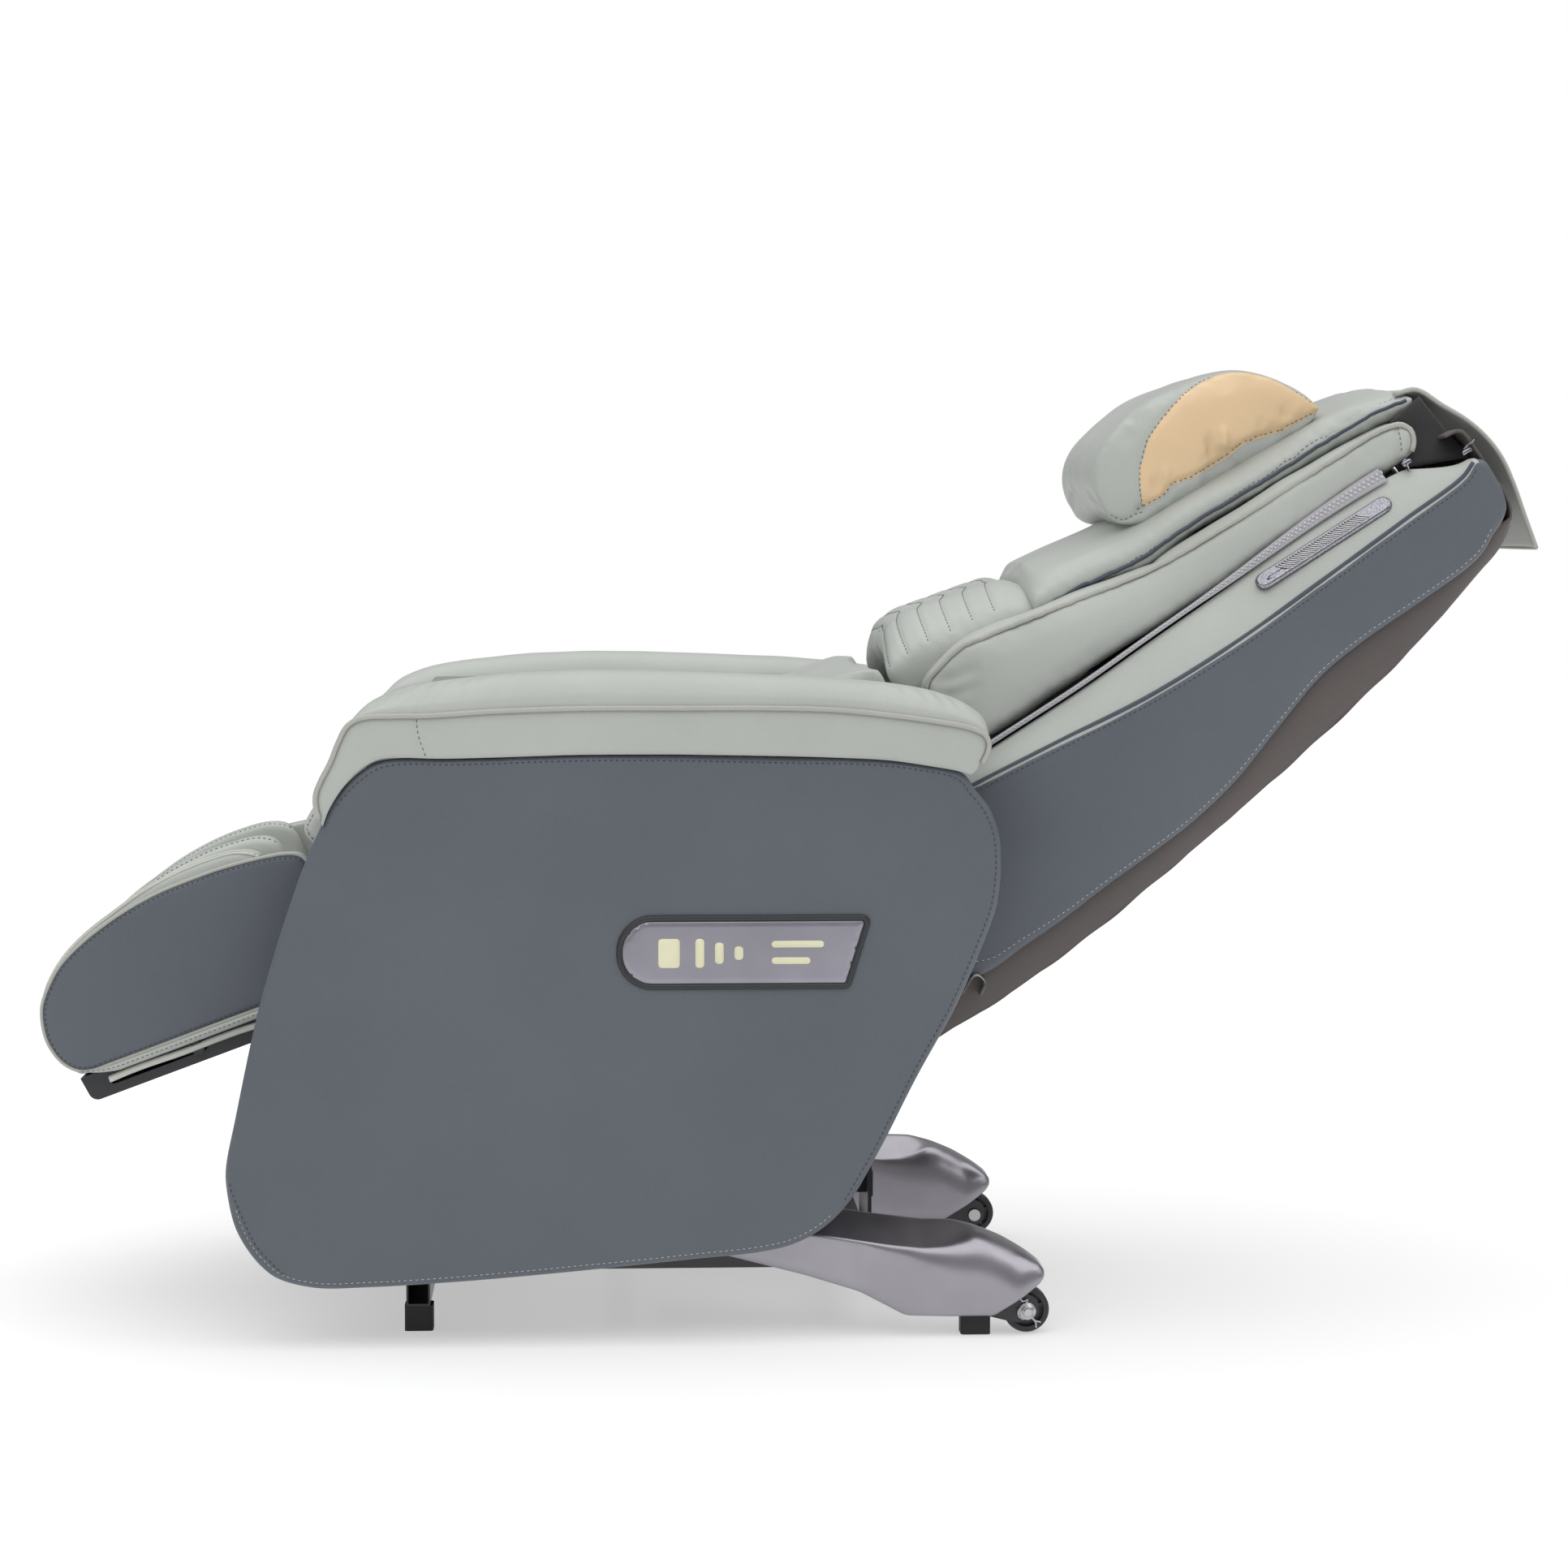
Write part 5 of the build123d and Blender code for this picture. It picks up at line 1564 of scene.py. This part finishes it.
cover_rings = []
for y in np.r_[np.linspace(-90, 240, 84), np.linspace(242, 255, 10)]:
    x, z = np.array(cover_section(y)).T
    cover_rings.append(BASE.place(x, y, z))
cover_left = loft("Leg_Cover_Left", cover_rings, SILVER)
cover_left.data.materials.append(RECESS_SHADE)
ring_size = len(cover_rings[0])
RECESS_FACES = range(19, 27)    # the sloping stretch of each ring
RECESS_END = 0.164
# The recess faces get the darker plastic, painted shade in the recess.
for face in cover_left.data.polygons[:ring_size * (len(cover_rings) - 1)]:
    if face.index % ring_size in RECESS_FACES and face.center.y < RECESS_END:
        face.material_index = 1
smooth = cover_left.modifiers.new("Smooth", "SMOOTH")
smooth.factor = 0.5
smooth.iterations = 9
apply_modifiers(cover_left)
cover_right = link_object("Leg_Cover_Right", cover_left.data.copy())
set_points(cover_right, get_points(cover_left) - [COVER_STEP, 0, 0])
for one in (cover_left, cover_right):
    put(one, "base", "silver_plastic", "leg_covers")

# Washer and hairpin clip on the end of each axle
AXLE = (236, 25.5)
turn = np.linspace(0, 2 * math.pi, 28, endpoint=False)
washer_rings = [BASE.place(x, AXLE[0] + r * np.cos(turn), AXLE[1] + r * np.sin(turn)) for x,
                r in ((299.8, 8.6), (300.0, 9.2), (301.2, 9.2), (301.6, 8.8), (301.7, 5.4), (303.4, 5.2),
                      (303.8, 4.6), (304.0, 2.0))]
clip_parts = [loft("Washer", washer_rings, STEEL)]
for number, wire in enumerate(([(-9, 16), (-5, 11), (0, 13), (-2, 8), (-1, 2)], [(2, -3), (7, -9), (14, -11)],
                               [(4, -5), (8, -10), (9, -17)], [(-6, 5), (-10, 1), (-9, -5), (-4, -8)])):
    path = curve(np.array(wire, float) + AXLE, 1.5)
    clip_parts.append(cord_mesh("Wire%d" % number, BASE.line(304.6, path), 0.8, STEEL, sides=8))
clip_left = join("Axle_Clip_Left", clip_parts)
put_both(clip_left, "base", "bright_steel", "axle_clips")

# Floor, light and camera
CAMERA = (4.2340, -0.21162, 0.84371)
CAMERA_YAW = math.radians(2.8045)
CAMERA_PITCH = math.radians(3.8424)
CAMERA_LENS = 87.67

FLOOR = 14
floor_mesh = bpy.data.meshes.new("Floor")
floor_mesh.from_pydata([(FLOOR * i, FLOOR * j, 0) for i, j in ((-1, -1), (1, -1), (1, 1), (-1, 1))],
                       [], [(0, 1, 2, 3)])
floor = link_object("Floor", floor_mesh)
floor_look = Look("PaleFloor", (0.6, 0.6, 0.6, 1), Emission_Color=(1, 1, 1, 1), Emission_Strength=0.45)
floor_look.wire("Roughness", floor_look.scale(floor_look.noise(3.0), 0.55, 0.7))
floor_mesh.materials.append(floor_look.material)

camera_data = bpy.data.cameras.new("Camera")
camera_data.lens = CAMERA_LENS
camera_data.sensor_width = 36
camera = link_object("Camera", camera_data)
camera.location = CAMERA
sight = Vector((-math.cos(CAMERA_PITCH) * math.cos(CAMERA_YAW), math.cos(CAMERA_PITCH) * math.sin(CAMERA_YAW),
                -math.sin(CAMERA_PITCH)))
camera.rotation_euler = sight.to_track_quat("-Z", "Y").to_euler()
bpy.context.scene.camera = camera


def area_light(name, spot, target, size, power):
    """Soft rectangular light aimed at a place."""
    data = bpy.data.lights.new(name, "AREA")
    data.shape = "RECTANGLE"
    data.size, data.size_y = size
    data.energy = power
    lamp = link_object(name, data)
    lamp.location = spot
    lamp.rotation_euler = (Vector(target) - Vector(spot)).to_track_quat("-Z", "Y").to_euler()


sun_data = bpy.data.lights.new("Overhead", "SUN")
sun_data.energy = 2.5
sun_data.angle = math.radians(100)
sun = link_object("Overhead", sun_data)
sun.rotation_euler = (math.radians(4), math.radians(6), 0)
area_light("Key", (3.4, -2.2, 2.6), (0, 0, 0.5), (2.2, 2.2), 10)
area_light("Rear", (1.6, 3.4, 2.4), (0, 0.2, 0.6), (2.0, 2.0), 10)
world = bpy.data.worlds.new("Studio")
bpy.context.scene.world = world
world.use_nodes = True
sky = world.node_tree.nodes["Background"]
sky.inputs["Color"].default_value = (1, 1, 1, 1)
sky.inputs["Strength"].default_value = 0.3
seen = world.node_tree.nodes.new("ShaderNodeBackground")
path = world.node_tree.nodes.new("ShaderNodeLightPath")
choose = world.node_tree.nodes.new("ShaderNodeMixShader")
world.node_tree.links.new(path.outputs["Is Camera Ray"], choose.inputs["Fac"])
world.node_tree.links.new(sky.outputs["Background"], choose.inputs[1])
world.node_tree.links.new(seen.outputs["Background"], choose.inputs[2])
world.node_tree.links.new(choose.outputs["Shader"], world.node_tree.nodes["World Output"].inputs["Surface"])
seen.inputs["Color"].default_value = (1, 1, 1, 1)
bpy.context.scene.view_settings.view_transform = "Standard"
